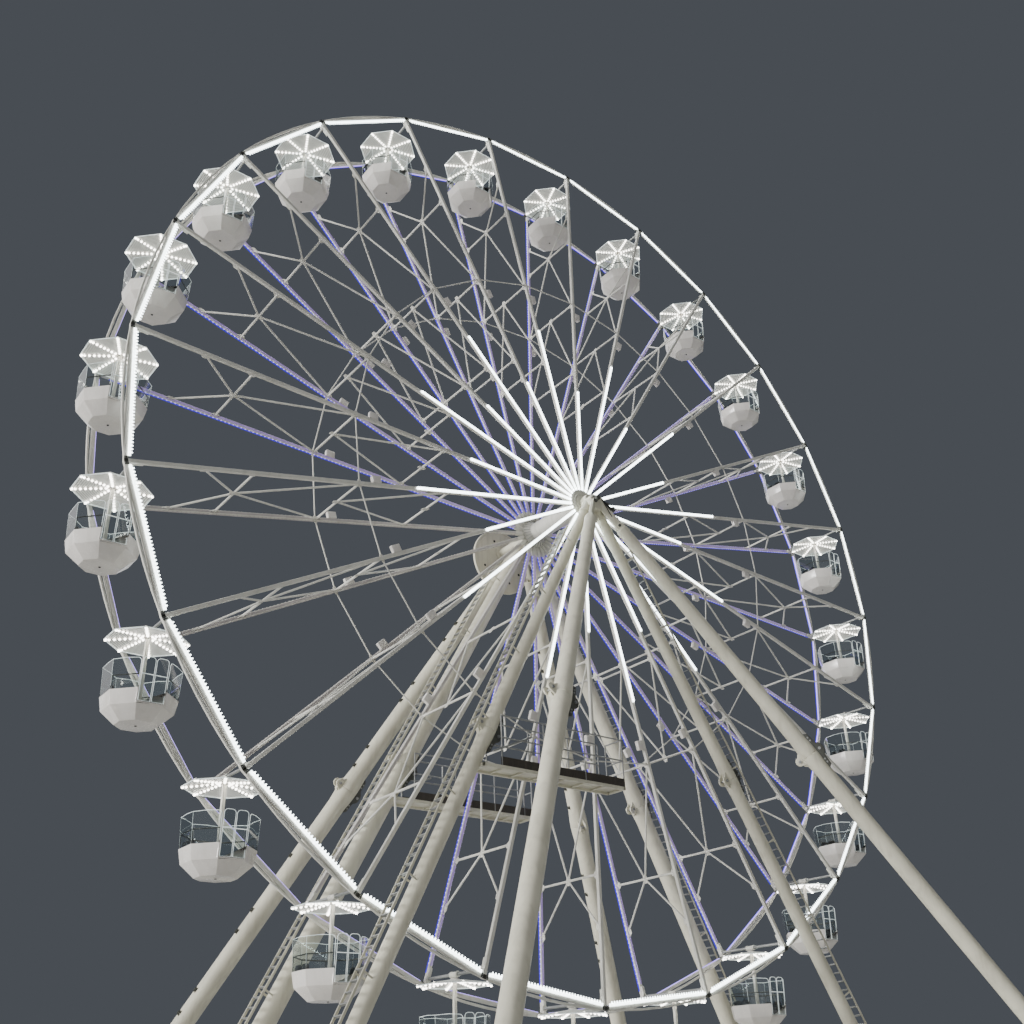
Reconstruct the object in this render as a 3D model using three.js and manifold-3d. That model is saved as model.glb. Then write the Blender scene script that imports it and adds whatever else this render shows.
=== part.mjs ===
// Travelling Ferris wheel: a 24-sided wheel with open octagonal gondolas, carried by two sets of
// four raked legs. Millimetres, +Z up. The origin is on the ground below the middle of the wheel,
// the axle runs along Y and the illuminated front of the wheel faces -Y.

import * as THREE from 'three';
import { mergeVertices } from 'three/addons/utils/BufferGeometryUtils.js';
import Module from 'manifold-3d';

const wasm = await Module();
wasm.setup();

// Wheel
const NODE_COUNT = 24;
const NODE_STEP = (2 * Math.PI) / NODE_COUNT;
const REST_TURN = THREE.MathUtils.degToRad(-1.8);
const RIM_RADIUS = 16060;
const PIVOT_RADIUS = 15865;
const AXLE_HEIGHT = 19900;
const RIM_Y = 1350;
const CHORD_WIDTH = 110;
const STRUT_WIDTH = 70;
const STRUT_DEPTH = 64;
const BRACE_RADIUS = 32;
const BRACE_SIDES = 3;
const JOINT_GAP = 0.3;

// Stations of each spoke truss, as radii from the wheel's axis
const OUTER_BRACE_RADIUS = 13920;
const STRUT_RADII = [12480, 9104, 5808];

// Gondola carriers at the outer end of each spoke
const CHORD_END = RIM_RADIUS - 63;
const LUG_INNER_RADIUS = PIVOT_RADIUS - 185;
const LUG_OUTER_RADIUS = PIVOT_RADIUS + 215;
const LUG_THICKNESS = 60;
const LUG_DEPTH = 96;
const LUG_ROOT = 25;
const PIVOT_ROD_RADIUS = 40;
const PIVOT_ROD_SIDES = 8;

// Hub and fixed axle
const HUB_FLANGE_APOTHEM = 520;
const HUB_FLANGE_HALF = 60;
const HUB_DRUM_RADIUS = 330;
const HUB_BORE_RADIUS = 186;
const AXLE_RADIUS = 172;
const HUB_HALF_LENGTH = RIM_Y + HUB_FLANGE_HALF;

// Axle heads, where the legs meet
const HEAD_NEAR_Y = 1640;
const HEAD_FAR_Y = 2180;
const HEAD_HALF_WIDTH = 300;
const HEAD_TOP = -20;
const HEAD_BOTTOM = -520;
const AXLE_CAP_HALF_WIDTH = 230;
const AXLE_CAP_LENGTH = 180;
const AXLE_CAP_TOP = 205;
const STUB_RADIUS = 190;
const STUB_LENGTH = 520;
const LUG_ARM_LENGTH = 1250;
const LUG_ARM_WIDTH = 260;
const LUG_ARM_THICKNESS = 110;

// Rear disc on the axle's end
const DISC_Y = 3330;
const DISC_THICKNESS = 90;
const DISC_RADIUS = 1280;
const DISC_DROP = 350;
const DISC_SIDES = 24;

// Legs
const LEG_SIDES = 10;
const STUB_SIDES = 6;
const LEG_END = 320;
const LEG_TOP_SHARE = 0.8;
const LEG_FLANGE_SHARE = 1.32;
const LEG_HEAD_X = 136;
const LEG_HEAD_DROP = 224;
const MAIN_HEAD_Y = 1840;
const MAIN_FOOT_X = 10800;
const MAIN_FOOT_Y = 2580;
const OUTRIGGER_HEAD_Y = 2100;
const OUTRIGGER_FOOT_X = 10910;
const OUTRIGGER_FOOT_Y = 9480;
const LEG_JOINT_HEIGHT = 10150;
const LEG_FLANGE_THICKNESS = 160;
const FRONT_MAIN_RADIUS = 215;
const FRONT_OUTRIGGER_RADIUS = 250;
const REAR_MAIN_RADIUS = 280;
const REAR_OUTRIGGER_RADIUS = 295;
const FOOT_PLATE = { width: 1700, depth: 1300, thickness: 60 };
const FOOT_BLOCK = { width: 1150, depth: 950, height: 420 };

// Ladders along the main legs
const LADDER_WIDTH = 420;
const LADDER_RAIL = 60;
const LADDER_STANDOFF = 240;
const LADDER_BAY_COUNT = 7;
const LADDER_STANDOFF_COUNT = 3;
const LADDER_STANDOFF_BAR = 44;
const LADDER_LOW_SHARE = 0.08;
const LADDER_HIGH_SHARE = 0.92;

// Service platforms at the leg joints
const DECK_HEIGHT = 9640;
const DECK_THICKNESS = 90;
const DECK_LEFT_X = -5400;
const DECK_RAIL_START_X = -4300;
const DECK_RIGHT_X = -180;
const DECK_NEAR_Y = 1800;
const DECK_FAR_Y = 2560;
const DECK_RAIL_HEIGHT = 1150;
const DECK_RAIL = 44;
const DECK_BAY_COUNT = 3;
const TOE_BOARD_HEIGHT = 180;

// Gondolas
const TUB_SIDES = 8;
const TUB_WALL = 45;
const TUB_BOTTOM_Z = -2440;
const TUB_BOTTOM_RADIUS = 510;
const TUB_WAIST_Z = -2130;
const TUB_WAIST_RADIUS = 860;
const TUB_RIM_Z = -1780;
const TUB_RIM_RADIUS = 930;
const SCREEN_TOP_Z = -1045;
const SCREEN_TOP_RADIUS = 950;
const DOOR_WIDTH = 560;
const DOOR_SILL_Z = -2095;
const MAST_WIDTH = 76;
const MAST_TOP_Z = -60;
const CANOPY_RADIUS = 1050;
const CANOPY_EDGE_Z = -270;
const CANOPY_PEAK_Z = -130;
const CANOPY_THICKNESS = 36;
const SLEEVE_BORE_HALF = 47;
const SLEEVE_HALF_WIDTH = 80;
const SLEEVE_HALF_LENGTH = 160;
const BENCH_TOP_Z = -1930;
const BENCH_DEPTH = 360;
const BENCH_LENGTH = 760;
const BENCH_THICKNESS = 60;

// Paint
const STRUCTURE_PAINT = { color: 0xd9d8cf, roughness: 0.45, metalness: 0.15 };
const LEG_PAINT = { color: 0xd6d3c2, roughness: 0.42, metalness: 0.15 };
const GONDOLA_SHELL = { color: 0xe9e6df, roughness: 0.3, metalness: 0.0 };

// Solids: a three.js geometry goes in and comes out of the boolean library as a closed mesh

function solidFrom(geometry) {
  const bare = geometry.clone();
  bare.deleteAttribute('normal');
  bare.deleteAttribute('uv');
  const merged = mergeVertices(bare, 1e-4);
  const vertProperties = new Float32Array(merged.attributes.position.array);
  const triVerts = new Uint32Array(merged.index.array);
  return new wasm.Manifold(new wasm.Mesh({ numProp: 3, vertProperties, triVerts }));
}

function join(geometries) {
  return geometries.map(solidFrom).reduce((whole, next) => whole.add(next));
}

function geometryFrom(solid) {
  const mesh = solid.getMesh();
  const geometry = new THREE.BufferGeometry();
  const positions = new Float32Array(mesh.vertProperties);
  geometry.setAttribute('position', new THREE.BufferAttribute(positions, 3));
  geometry.setIndex(new THREE.BufferAttribute(new Uint32Array(mesh.triVerts), 1));
  return geometry;
}

function box(lowX, highX, lowY, highY, lowZ, highZ) {
  const geometry = new THREE.BoxGeometry(highX - lowX, highY - lowY, highZ - lowZ);
  geometry.translate((lowX + highX) / 2, (lowY + highY) / 2, (lowZ + highZ) / 2);
  return geometry;
}

// A cylinder or cone frustum from start to end
function tube(start, end, startRadius, endRadius, sides) {
  const axis = end.clone().sub(start);
  const geometry = new THREE.CylinderGeometry(endRadius, startRadius, axis.length(), sides);
  const turn = new THREE.Quaternion().setFromUnitVectors(
    new THREE.Vector3(0, 1, 0),
    axis.clone().normalize(),
  );
  geometry.applyQuaternion(turn);
  const middle = start.clone().add(end).multiplyScalar(0.5);
  geometry.translate(middle.x, middle.y, middle.z);
  return geometry;
}

// A slim brace between two points of the X-Y plane
function brace(startX, startY, endX, endY) {
  const start = new THREE.Vector3(startX, startY, 0);
  const end = new THREE.Vector3(endX, endY, 0);
  return tube(start, end, BRACE_RADIUS, BRACE_RADIUS, BRACE_SIDES);
}

// A bar between any two points; the section stays level across its width
function flatBar(start, end, width, depth) {
  const axis = end.clone().sub(start);
  const geometry = new THREE.BoxGeometry(axis.length(), width, depth);
  const along = axis.clone().normalize();
  const across = new THREE.Vector3(0, 0, 1).cross(along).normalize();
  const normal = along.clone().cross(across);
  geometry.applyMatrix4(new THREE.Matrix4().makeBasis(along, across, normal));
  const middle = start.clone().add(end).multiplyScalar(0.5);
  geometry.translate(middle.x, middle.y, middle.z);
  return geometry;
}

// A flat plate outline, extruded by its depth to both sides of the X-Y plane
function plate(outline, holes, depth) {
  const shape = new THREE.Shape(outline.map(([x, y]) => new THREE.Vector2(x, y)));
  for (const hole of holes) {
    shape.holes.push(new THREE.Path(hole.map(([x, y]) => new THREE.Vector2(x, y))));
  }
  const geometry = new THREE.ExtrudeGeometry(shape, { depth, bevelEnabled: false });
  geometry.translate(0, 0, -depth / 2);
  return geometry;
}

// One spoke, drawn along +X from the axis: two chords, K bracing and the gondola's pivot rod
function spokeSolid() {
  const chordStart = HUB_FLANGE_APOTHEM + JOINT_GAP;
  const half = CHORD_WIDTH / 2;
  const inner = RIM_Y - half;
  const bars = [];
  for (const side of [-1, 1]) {
    const y = side * RIM_Y;
    bars.push(box(chordStart, CHORD_END, y - half, y + half, -half, half));
    const lug = [
      [LUG_INNER_RADIUS, side * (inner + LUG_ROOT)],
      [CHORD_END - LUG_ROOT, side * (inner + LUG_ROOT)],
      [CHORD_END - LUG_ROOT, side * (inner - JOINT_GAP)],
      [LUG_OUTER_RADIUS, side * (inner - JOINT_GAP)],
      [LUG_OUTER_RADIUS, side * (inner - LUG_THICKNESS)],
      [LUG_INNER_RADIUS, side * (inner - LUG_THICKNESS)],
    ];
    bars.push(plate(lug, [], LUG_DEPTH));
    bars.push(brace(OUTER_BRACE_RADIUS, y, STRUT_RADII[0], 0));
    for (let index = 1; index < STRUT_RADII.length; index += 1) {
      bars.push(brace(STRUT_RADII[index - 1], 0, STRUT_RADII[index], y));
    }
  }
  for (const radius of STRUT_RADII) {
    const across = STRUT_WIDTH / 2;
    const deep = STRUT_DEPTH / 2;
    bars.push(box(radius - across, radius + across, -RIM_Y, RIM_Y, -deep, deep));
  }
  const rodReach = inner - LUG_THICKNESS / 2;
  bars.push(
    tube(
      new THREE.Vector3(PIVOT_RADIUS, -rodReach, 0),
      new THREE.Vector3(PIVOT_RADIUS, rodReach, 0),
      PIVOT_ROD_RADIUS,
      PIVOT_ROD_RADIUS,
      PIVOT_ROD_SIDES,
    ),
  );
  return join(bars);
}

// One rim: a 24-sided ring whose corners sit on the wheel's nodes
function rimGeometry() {
  const half = CHORD_WIDTH / 2;
  const outline = (radius) => Array.from({ length: NODE_COUNT }, (_, index) => {
    const angle = index * NODE_STEP;
    return new THREE.Vector2(radius * Math.cos(angle), radius * Math.sin(angle));
  });
  const shape = new THREE.Shape(outline(RIM_RADIUS + half));
  shape.holes.push(new THREE.Path(outline(RIM_RADIUS - half)));
  const geometry = new THREE.ExtrudeGeometry(shape, { depth: CHORD_WIDTH, bevelEnabled: false });
  geometry.translate(0, 0, -half);
  geometry.rotateX(Math.PI / 2);
  return geometry;
}

// Hub: a drum with a flange at each end, turned as one profile round the Y axis
function hubGeometry() {
  const flange = HUB_FLANGE_APOTHEM / Math.cos(NODE_STEP / 2);
  const shoulder = RIM_Y - HUB_FLANGE_HALF;
  const profile = [
    [HUB_BORE_RADIUS, -HUB_HALF_LENGTH],
    [flange, -HUB_HALF_LENGTH],
    [flange, -shoulder],
    [HUB_DRUM_RADIUS, -shoulder + 180],
    [HUB_DRUM_RADIUS, shoulder - 180],
    [flange, shoulder],
    [flange, HUB_HALF_LENGTH],
    [HUB_BORE_RADIUS, HUB_HALF_LENGTH],
    [HUB_BORE_RADIUS, -HUB_HALF_LENGTH],
  ].map(([radius, y]) => new THREE.Vector2(radius, y));
  return new THREE.LatheGeometry(profile, NODE_COUNT, NODE_STEP / 2 + Math.PI / 2);
}

// The four legs' centre lines on one side: +1 is the rear, -1 the front
function legLine(side, hand, outrigger) {
  const headY = outrigger ? OUTRIGGER_HEAD_Y : MAIN_HEAD_Y;
  const footX = outrigger ? OUTRIGGER_FOOT_X : MAIN_FOOT_X;
  const footY = outrigger ? OUTRIGGER_FOOT_Y : MAIN_FOOT_Y;
  const head = new THREE.Vector3(hand * LEG_HEAD_X, side * headY, AXLE_HEIGHT - LEG_HEAD_DROP);
  const foot = new THREE.Vector3(hand * footX, side * footY, 0);
  return { head, foot, along: foot.clone().sub(head).normalize() };
}

function pointOn(line, distance) {
  return line.head.clone().addScaledVector(line.along, distance);
}

function distanceAtHeight(line, height) {
  return (line.head.z - height) / -line.along.z;
}

// Fixed axle with its two heads, the leg stubs and the disc behind the rear head
function axleSolid() {
  const capFarY = HEAD_NEAR_Y + AXLE_CAP_LENGTH;
  const parts = [
    tube(
      new THREE.Vector3(0, -capFarY - 20, AXLE_HEIGHT),
      new THREE.Vector3(0, DISC_Y + 40, AXLE_HEIGHT),
      AXLE_RADIUS,
      AXLE_RADIUS,
      NODE_COUNT,
    ),
  ];
  for (const side of [-1, 1]) {
    const near = side * HEAD_NEAR_Y;
    const far = side * HEAD_FAR_Y;
    parts.push(
      box(
        -HEAD_HALF_WIDTH,
        HEAD_HALF_WIDTH,
        Math.min(near, far),
        Math.max(near, far),
        AXLE_HEIGHT + HEAD_BOTTOM,
        AXLE_HEIGHT + HEAD_TOP,
      ),
    );
    parts.push(
      box(
        -AXLE_CAP_HALF_WIDTH,
        AXLE_CAP_HALF_WIDTH,
        Math.min(near, side * capFarY),
        Math.max(near, side * capFarY),
        AXLE_HEIGHT + HEAD_TOP - 50,
        AXLE_HEIGHT + AXLE_CAP_TOP,
      ),
    );
    for (const hand of [-1, 1]) {
      const main = legLine(side, hand, false);
      const tip = pointOn(main, STUB_LENGTH);
      parts.push(tube(main.head, tip, STUB_RADIUS, STUB_RADIUS, STUB_SIDES));
      const outer = legLine(side, hand, true);
      const pin = pointOn(outer, LUG_ARM_LENGTH);
      parts.push(flatBar(outer.head, pin, LUG_ARM_THICKNESS, LUG_ARM_WIDTH));
    }
  }
  const discCentre = AXLE_HEIGHT - DISC_DROP;
  parts.push(
    tube(
      new THREE.Vector3(0, DISC_Y - DISC_THICKNESS / 2, discCentre),
      new THREE.Vector3(0, DISC_Y + DISC_THICKNESS / 2, discCentre),
      DISC_RADIUS,
      DISC_RADIUS,
      DISC_SIDES,
    ),
  );
  return join(parts);
}

// A frame of equal rectangular bays of square bars, in the X-Y plane with a corner at the origin
function bayFrame(length, height, columns, rows, bar) {
  const half = bar / 2;
  const bars = [];
  for (let column = 0; column <= columns; column += 1) {
    const x = ((length - bar) * column) / columns;
    bars.push(box(x, x + bar, 0, height, -half, half));
  }
  for (let row = 0; row <= rows; row += 1) {
    const y = ((height - bar) * row) / rows;
    bars.push(box(0, length, y, y + bar, -half, half));
  }
  return bars;
}

// Ladder on the outward side of a main leg: two rails with rungs, on standoffs
function ladderParts(line, hand, radius) {
  const length = line.foot.distanceTo(line.head);
  const high = length * (1 - LADDER_HIGH_SHARE);
  const run = length * (1 - LADDER_LOW_SHARE) - high;
  const outward = new THREE.Vector3(hand, 0, 0);
  outward.addScaledVector(line.along, -outward.dot(line.along)).normalize();
  const across = outward.clone().cross(line.along);
  const reach = radius + LADDER_STANDOFF;
  const corner = pointOn(line, high)
    .addScaledVector(outward, reach)
    .addScaledVector(across, -LADDER_WIDTH / 2);
  const frame = geometryFrom(join(bayFrame(run, LADDER_WIDTH, LADDER_BAY_COUNT, 1, LADDER_RAIL)));
  frame.applyMatrix4(new THREE.Matrix4().makeBasis(line.along, across, outward));
  frame.translate(corner.x, corner.y, corner.z);
  const parts = [frame];
  const bay = (run - LADDER_RAIL) / LADDER_BAY_COUNT;
  for (let index = 0; index < LADDER_STANDOFF_COUNT; index += 1) {
    const rung = Math.round(((index + 0.5) * LADDER_BAY_COUNT) / LADDER_STANDOFF_COUNT);
    const base = pointOn(line, high + rung * bay + LADDER_RAIL / 2);
    const tip = base.clone().addScaledVector(outward, reach);
    parts.push(flatBar(base, tip, LADDER_STANDOFF_BAR, LADDER_STANDOFF_BAR));
  }
  return parts;
}

// Service platform reaching from a left main leg to the middle of the wheel
function platformParts(side) {
  const lowY = Math.min(side * DECK_NEAR_Y, side * DECK_FAR_Y);
  const highY = Math.max(side * DECK_NEAR_Y, side * DECK_FAR_Y);
  const top = DECK_HEIGHT + DECK_THICKNESS;
  const length = DECK_RIGHT_X - DECK_RAIL_START_X;
  const toe = top + TOE_BOARD_HEIGHT;
  const parts = [
    box(DECK_LEFT_X, DECK_RIGHT_X, lowY, highY, DECK_HEIGHT, top),
    box(DECK_RAIL_START_X, DECK_RIGHT_X, lowY, lowY + DECK_RAIL, DECK_HEIGHT, toe),
    box(DECK_RAIL_START_X, DECK_RIGHT_X, highY - DECK_RAIL, highY, DECK_HEIGHT, toe),
  ];
  for (const y of [lowY + DECK_RAIL / 2, highY - DECK_RAIL / 2]) {
    for (const bar of bayFrame(length, DECK_RAIL_HEIGHT, DECK_BAY_COUNT, 2, DECK_RAIL)) {
      bar.rotateX(Math.PI / 2);
      bar.translate(DECK_RAIL_START_X, y, top);
      parts.push(bar);
    }
  }
  for (const bar of bayFrame(highY - lowY, DECK_RAIL_HEIGHT, 1, 2, DECK_RAIL)) {
    bar.rotateX(Math.PI / 2);
    bar.rotateZ(Math.PI / 2);
    bar.translate(DECK_RIGHT_X - DECK_RAIL / 2, lowY, top);
    parts.push(bar);
  }
  return parts;
}

// One leg from its stub on the axle head to its foot on the ground
function legSolid(side, hand, outrigger, radius, extras) {
  const line = legLine(side, hand, outrigger);
  const top = (outrigger ? LUG_ARM_LENGTH : STUB_LENGTH) + JOINT_GAP;
  const joint = distanceAtHeight(line, LEG_JOINT_HEIGHT);
  const flange = radius * LEG_FLANGE_SHARE;
  const half = LEG_FLANGE_THICKNESS / 2;
  const end = line.foot.distanceTo(line.head) - LEG_END;
  const profile = [
    [0, top],
    [radius * LEG_TOP_SHARE, top],
    [radius, joint - half],
    [flange, joint - half],
    [flange, joint + half],
    [radius, joint + half],
    [radius, end],
    [0, end],
  ].map(([across, distance]) => new THREE.Vector2(across, distance));
  const shaft = new THREE.LatheGeometry(profile, LEG_SIDES);
  const down = new THREE.Vector3(0, 1, 0);
  shaft.applyQuaternion(new THREE.Quaternion().setFromUnitVectors(down, line.along));
  shaft.translate(line.head.x, line.head.y, line.head.z);
  const parts = [shaft];
  const foot = line.foot;
  const plate = FOOT_PLATE;
  const block = FOOT_BLOCK;
  const footBox = (size, low, high) => box(
    foot.x - size.width / 2,
    foot.x + size.width / 2,
    foot.y - size.depth / 2,
    foot.y + size.depth / 2,
    low,
    high,
  );
  parts.push(footBox(plate, 0, plate.thickness));
  parts.push(footBox(block, plate.thickness - 10, block.height));
  if (extras.ladder) {
    parts.push(...ladderParts(line, hand, radius));
  }
  if (extras.platform) {
    parts.push(...platformParts(side));
  }
  return join(parts);
}

// A closed octagonal loft through points of [radius, height], flats facing X and Y
function octagonCone(profile) {
  const points = profile.map(([radius, z]) => new THREE.Vector2(radius, z));
  const geometry = new THREE.LatheGeometry(points, TUB_SIDES, Math.PI / TUB_SIDES);
  geometry.rotateX(Math.PI / 2);
  return geometry;
}

// The same, with flat ends at its first and last ring
function octagonLoft(rings) {
  return octagonCone([[0, rings[0][1]], ...rings, [0, rings[rings.length - 1][1]]]);
}

// One gondola about its pivot: tub with wind screens, benches, mast, canopy and bearing sleeve
function gondolaSolid() {
  const outer = octagonLoft([
    [TUB_BOTTOM_RADIUS, TUB_BOTTOM_Z],
    [TUB_WAIST_RADIUS, TUB_WAIST_Z],
    [TUB_RIM_RADIUS, TUB_RIM_Z],
    [SCREEN_TOP_RADIUS, SCREEN_TOP_Z],
  ]);
  const inner = octagonLoft([
    [TUB_BOTTOM_RADIUS - TUB_WALL / 2, TUB_BOTTOM_Z + TUB_WALL],
    [TUB_WAIST_RADIUS - TUB_WALL, TUB_WAIST_Z + TUB_WALL / 2],
    [TUB_RIM_RADIUS - TUB_WALL, TUB_RIM_Z],
    [SCREEN_TOP_RADIUS - TUB_WALL, SCREEN_TOP_Z + TUB_WALL],
  ]);
  const doorway = box(
    -DOOR_WIDTH / 2,
    DOOR_WIDTH / 2,
    -TUB_WAIST_RADIUS - 100,
    -TUB_WAIST_RADIUS / 2,
    DOOR_SILL_Z,
    SCREEN_TOP_Z + 200,
  );
  let solid = solidFrom(outer).subtract(solidFrom(inner)).subtract(solidFrom(doorway));
  const half = MAST_WIDTH / 2;
  solid = solid.add(solidFrom(box(-half, half, -half, half, TUB_BOTTOM_Z + TUB_WALL / 2, MAST_TOP_Z)));
  const benchEdge = TUB_WAIST_RADIUS * Math.cos(Math.PI / TUB_SIDES);
  for (const hand of [-1, 1]) {
    const inside = hand * (benchEdge - BENCH_DEPTH);
    const outside = hand * benchEdge;
    const bench = box(
      Math.min(inside, outside),
      Math.max(inside, outside),
      -BENCH_LENGTH / 2,
      BENCH_LENGTH / 2,
      BENCH_TOP_Z - BENCH_THICKNESS,
      BENCH_TOP_Z,
    );
    solid = solid.add(solidFrom(bench));
  }
  const canopy = octagonCone([
    [0, CANOPY_PEAK_Z],
    [CANOPY_RADIUS, CANOPY_EDGE_Z],
    [CANOPY_RADIUS, CANOPY_EDGE_Z + CANOPY_THICKNESS],
    [0, CANOPY_PEAK_Z + CANOPY_THICKNESS],
  ]);
  solid = solid.add(solidFrom(canopy));
  const bearing = SLEEVE_HALF_WIDTH;
  const bore = SLEEVE_BORE_HALF;
  const reach = SLEEVE_HALF_LENGTH;
  solid = solid.add(solidFrom(box(-bearing, bearing, -reach, reach, -bearing, bearing)));
  return solid.subtract(solidFrom(box(-bore, bore, -reach - 50, reach + 50, -bore, bore)));
}

function namedMesh(name, geometry, finish) {
  const mesh = new THREE.Mesh(geometry, new THREE.MeshStandardMaterial(finish));
  mesh.name = name;
  return mesh;
}

function numbered(name, index) {
  return `${name}_${String(index + 1).padStart(2, '0')}`;
}

const group = new THREE.Group();

// The turning wheel, built about its axis and turned to its rest angle
const wheel = new THREE.Group();
wheel.position.z = AXLE_HEIGHT;
wheel.rotation.y = -REST_TURN;
group.add(wheel);

const spoke = geometryFrom(spokeSolid());
for (let index = 0; index < NODE_COUNT; index += 1) {
  const mesh = namedMesh(numbered('spoke', index), spoke, STRUCTURE_PAINT);
  mesh.rotation.y = -index * NODE_STEP;
  wheel.add(mesh);
}

for (const [name, y] of [['front_rim', -RIM_Y], ['rear_rim', RIM_Y]]) {
  const rim = namedMesh(name, rimGeometry(), STRUCTURE_PAINT);
  rim.position.y = y;
  wheel.add(rim);
}

wheel.add(namedMesh('wheel_hub', hubGeometry(), STRUCTURE_PAINT));

// Gondolas hang upright from the nodes
const gondola = geometryFrom(gondolaSolid());
for (let index = 0; index < NODE_COUNT; index += 1) {
  const angle = REST_TURN + index * NODE_STEP;
  const mesh = namedMesh(numbered('gondola', index), gondola, GONDOLA_SHELL);
  mesh.position.x = PIVOT_RADIUS * Math.cos(angle);
  mesh.position.z = AXLE_HEIGHT + PIVOT_RADIUS * Math.sin(angle);
  group.add(mesh);
}

// Fixed axle and legs
group.add(namedMesh('main_axle', geometryFrom(axleSolid()), LEG_PAINT));
for (const [sideName, side, mainRadius, outriggerRadius] of [
  ['front', -1, FRONT_MAIN_RADIUS, FRONT_OUTRIGGER_RADIUS],
  ['rear', 1, REAR_MAIN_RADIUS, REAR_OUTRIGGER_RADIUS],
]) {
  for (const [handName, hand] of [['left', -1], ['right', 1]]) {
    const extras = { ladder: true, platform: hand < 0 };
    const leg = legSolid(side, hand, false, mainRadius, extras);
    group.add(namedMesh(`${sideName}_${handName}_leg`, geometryFrom(leg), LEG_PAINT));
    const outrigger = legSolid(side, hand, true, outriggerRadius, {});
    group.add(namedMesh(`${sideName}_${handName}_outrigger`, geometryFrom(outrigger), LEG_PAINT));
  }
}

export default group;
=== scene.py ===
"""Travelling Ferris wheel, dressed over its CAD frame.

Metres, +Z up. The axle runs along Y and the lit front of the wheel faces -Y.
"""

import math

import bmesh
import bpy
from bpy.props import FloatProperty, FloatVectorProperty, IntProperty, PointerProperty
from mathutils import Matrix, Vector


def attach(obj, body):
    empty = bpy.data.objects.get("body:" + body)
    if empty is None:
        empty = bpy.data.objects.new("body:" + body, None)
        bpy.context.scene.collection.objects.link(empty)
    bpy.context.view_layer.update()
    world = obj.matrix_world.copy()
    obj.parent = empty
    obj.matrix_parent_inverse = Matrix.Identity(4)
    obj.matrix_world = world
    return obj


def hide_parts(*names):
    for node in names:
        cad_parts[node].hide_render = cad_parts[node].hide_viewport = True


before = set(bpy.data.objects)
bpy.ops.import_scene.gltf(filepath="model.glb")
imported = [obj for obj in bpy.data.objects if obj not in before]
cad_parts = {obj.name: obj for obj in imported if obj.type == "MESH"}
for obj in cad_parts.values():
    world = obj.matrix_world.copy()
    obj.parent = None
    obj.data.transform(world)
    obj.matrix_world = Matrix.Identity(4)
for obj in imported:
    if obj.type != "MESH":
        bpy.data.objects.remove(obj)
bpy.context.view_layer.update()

bl_info = {
    "name": "Ferris wheel",
    "version": (1, 0, 0),
    "blender": (4, 5, 0),
    "location": "View3D > Sidebar > Ferris wheel",
    "description": "Builds a travelling Ferris wheel round its CAD frame",
    "category": "Object",
}

X = Vector((1, 0, 0))
Y = Vector((0, 1, 0))
Z = Vector((0, 0, 1))
ORIGIN = Vector((0, 0, 0))

# Wheel
SPOKES = 24
STEP = math.tau / SPOKES
REST_TURN = math.radians(-1.8)
AXLE = Vector((0, 0, 19.9))
RIM_RADIUS = 16.0599
PIVOT_RADIUS = 15.865
RIM_Y = 1.35
CHORD = 0.11
FACE_Y = RIM_Y + CHORD / 2
INNER_Y = RIM_Y - CHORD / 2
STRUT_RADII = (12.48, 9.104, 5.808)
OUTER_BRACE = 13.92
CHORD_START = 0.5203
CHORD_END = 15.997
TIE_RADIUS = 9.104
BOX_RADIUS = 8.5
BAR_RADIUS = 15.985
HOOP_RADIUS = 16.072
HOOP_SECTION = (0.06, 0.08, 0.008)
DARK_SPOKES = (14, 15, 16, 17)

# Lighting: where the bars, strips, painted lilac spill and beads start and end along a spoke, and
# the gaps that the rim's bars and strips leave at the nodes
SPOKE_BAR_START = 0.58
LONG_BAR_END = 7.04
SHORT_BAR_END = 4.8
STRIP_X = (0.9, 15.7)
SPILL_X = (0.9, 15.5)
BEADS_X = (0.95, 15.65)
RIM_BAR_GAP = 0.13
RIM_STRIP_GAP = 0.22

# Stand
HEAD_NEAR = 1.64
HEAD_FAR = 2.18
HEAD_HALF = 0.30
HEAD_TOP = -0.02
HEAD_BOTTOM = -0.52
STUB_LENGTH = 0.52
LUG_LENGTH = 1.25
LEG_HEAD_X = 0.136
LEG_HEAD_DROP = 0.224
# y of the head, then x and y of the foot
MAIN_LEG_RUN = (1.84, 10.8, 2.58)
OUTRIGGER_RUN = (2.1, 10.91, 9.48)
# A tube's radius at its head as a share of that below the joint
UPPER_SHARE = 0.8
# How far the right outriggers' joint links lean outwards
LINK_LEAN = 0.55
# Ears on the rear outriggers, in pairs
BRACKET_PITCH = 2.65
BRACKET_GAP = 0.73
FOOT_PLATE = (0.85, 0.65)
FOOT_BLOCK = (0.5, 0.4)
LADDER_GAP = 0.24
LADDER_HALF = 0.19
JOINT_HEIGHT = 10.75
LEG_END = 0.32
DISC_CENTRE = AXLE + Vector((0, 3.33, -0.35))
DISC_RADIUS = 1.28
DISC_HOLES = 8
DISC_HOLE_RING = 0.86
DECK_Z = (9.64, 9.73)
DECK_Y = (1.80, 2.56)
DECK_X = (-5.4, -0.18)
RAIL_X = (-4.77, -0.18)
RAIL_HEIGHT = 1.43
RAIL_INSET = 0.022
MID_RAIL_SHARE = 0.56
BEAM_DEPTH = 0.09
JOISTS = 6
TOE_HEIGHT = 0.24
# Side of the wheel, hand, whether it is an outrigger, and the tube's radius
LEGS = {
    "front_left_leg": (-1, -1, False, 0.215),
    "front_right_leg": (-1, 1, False, 0.215),
    "front_left_outrigger": (-1, -1, True, 0.25),
    "front_right_outrigger": (-1, 1, True, 0.25),
    "rear_left_leg": (1, -1, False, 0.28),
    "rear_right_leg": (1, 1, False, 0.28),
    "rear_left_outrigger": (1, -1, True, 0.295),
    "rear_right_outrigger": (1, 1, True, 0.295),
}

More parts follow.
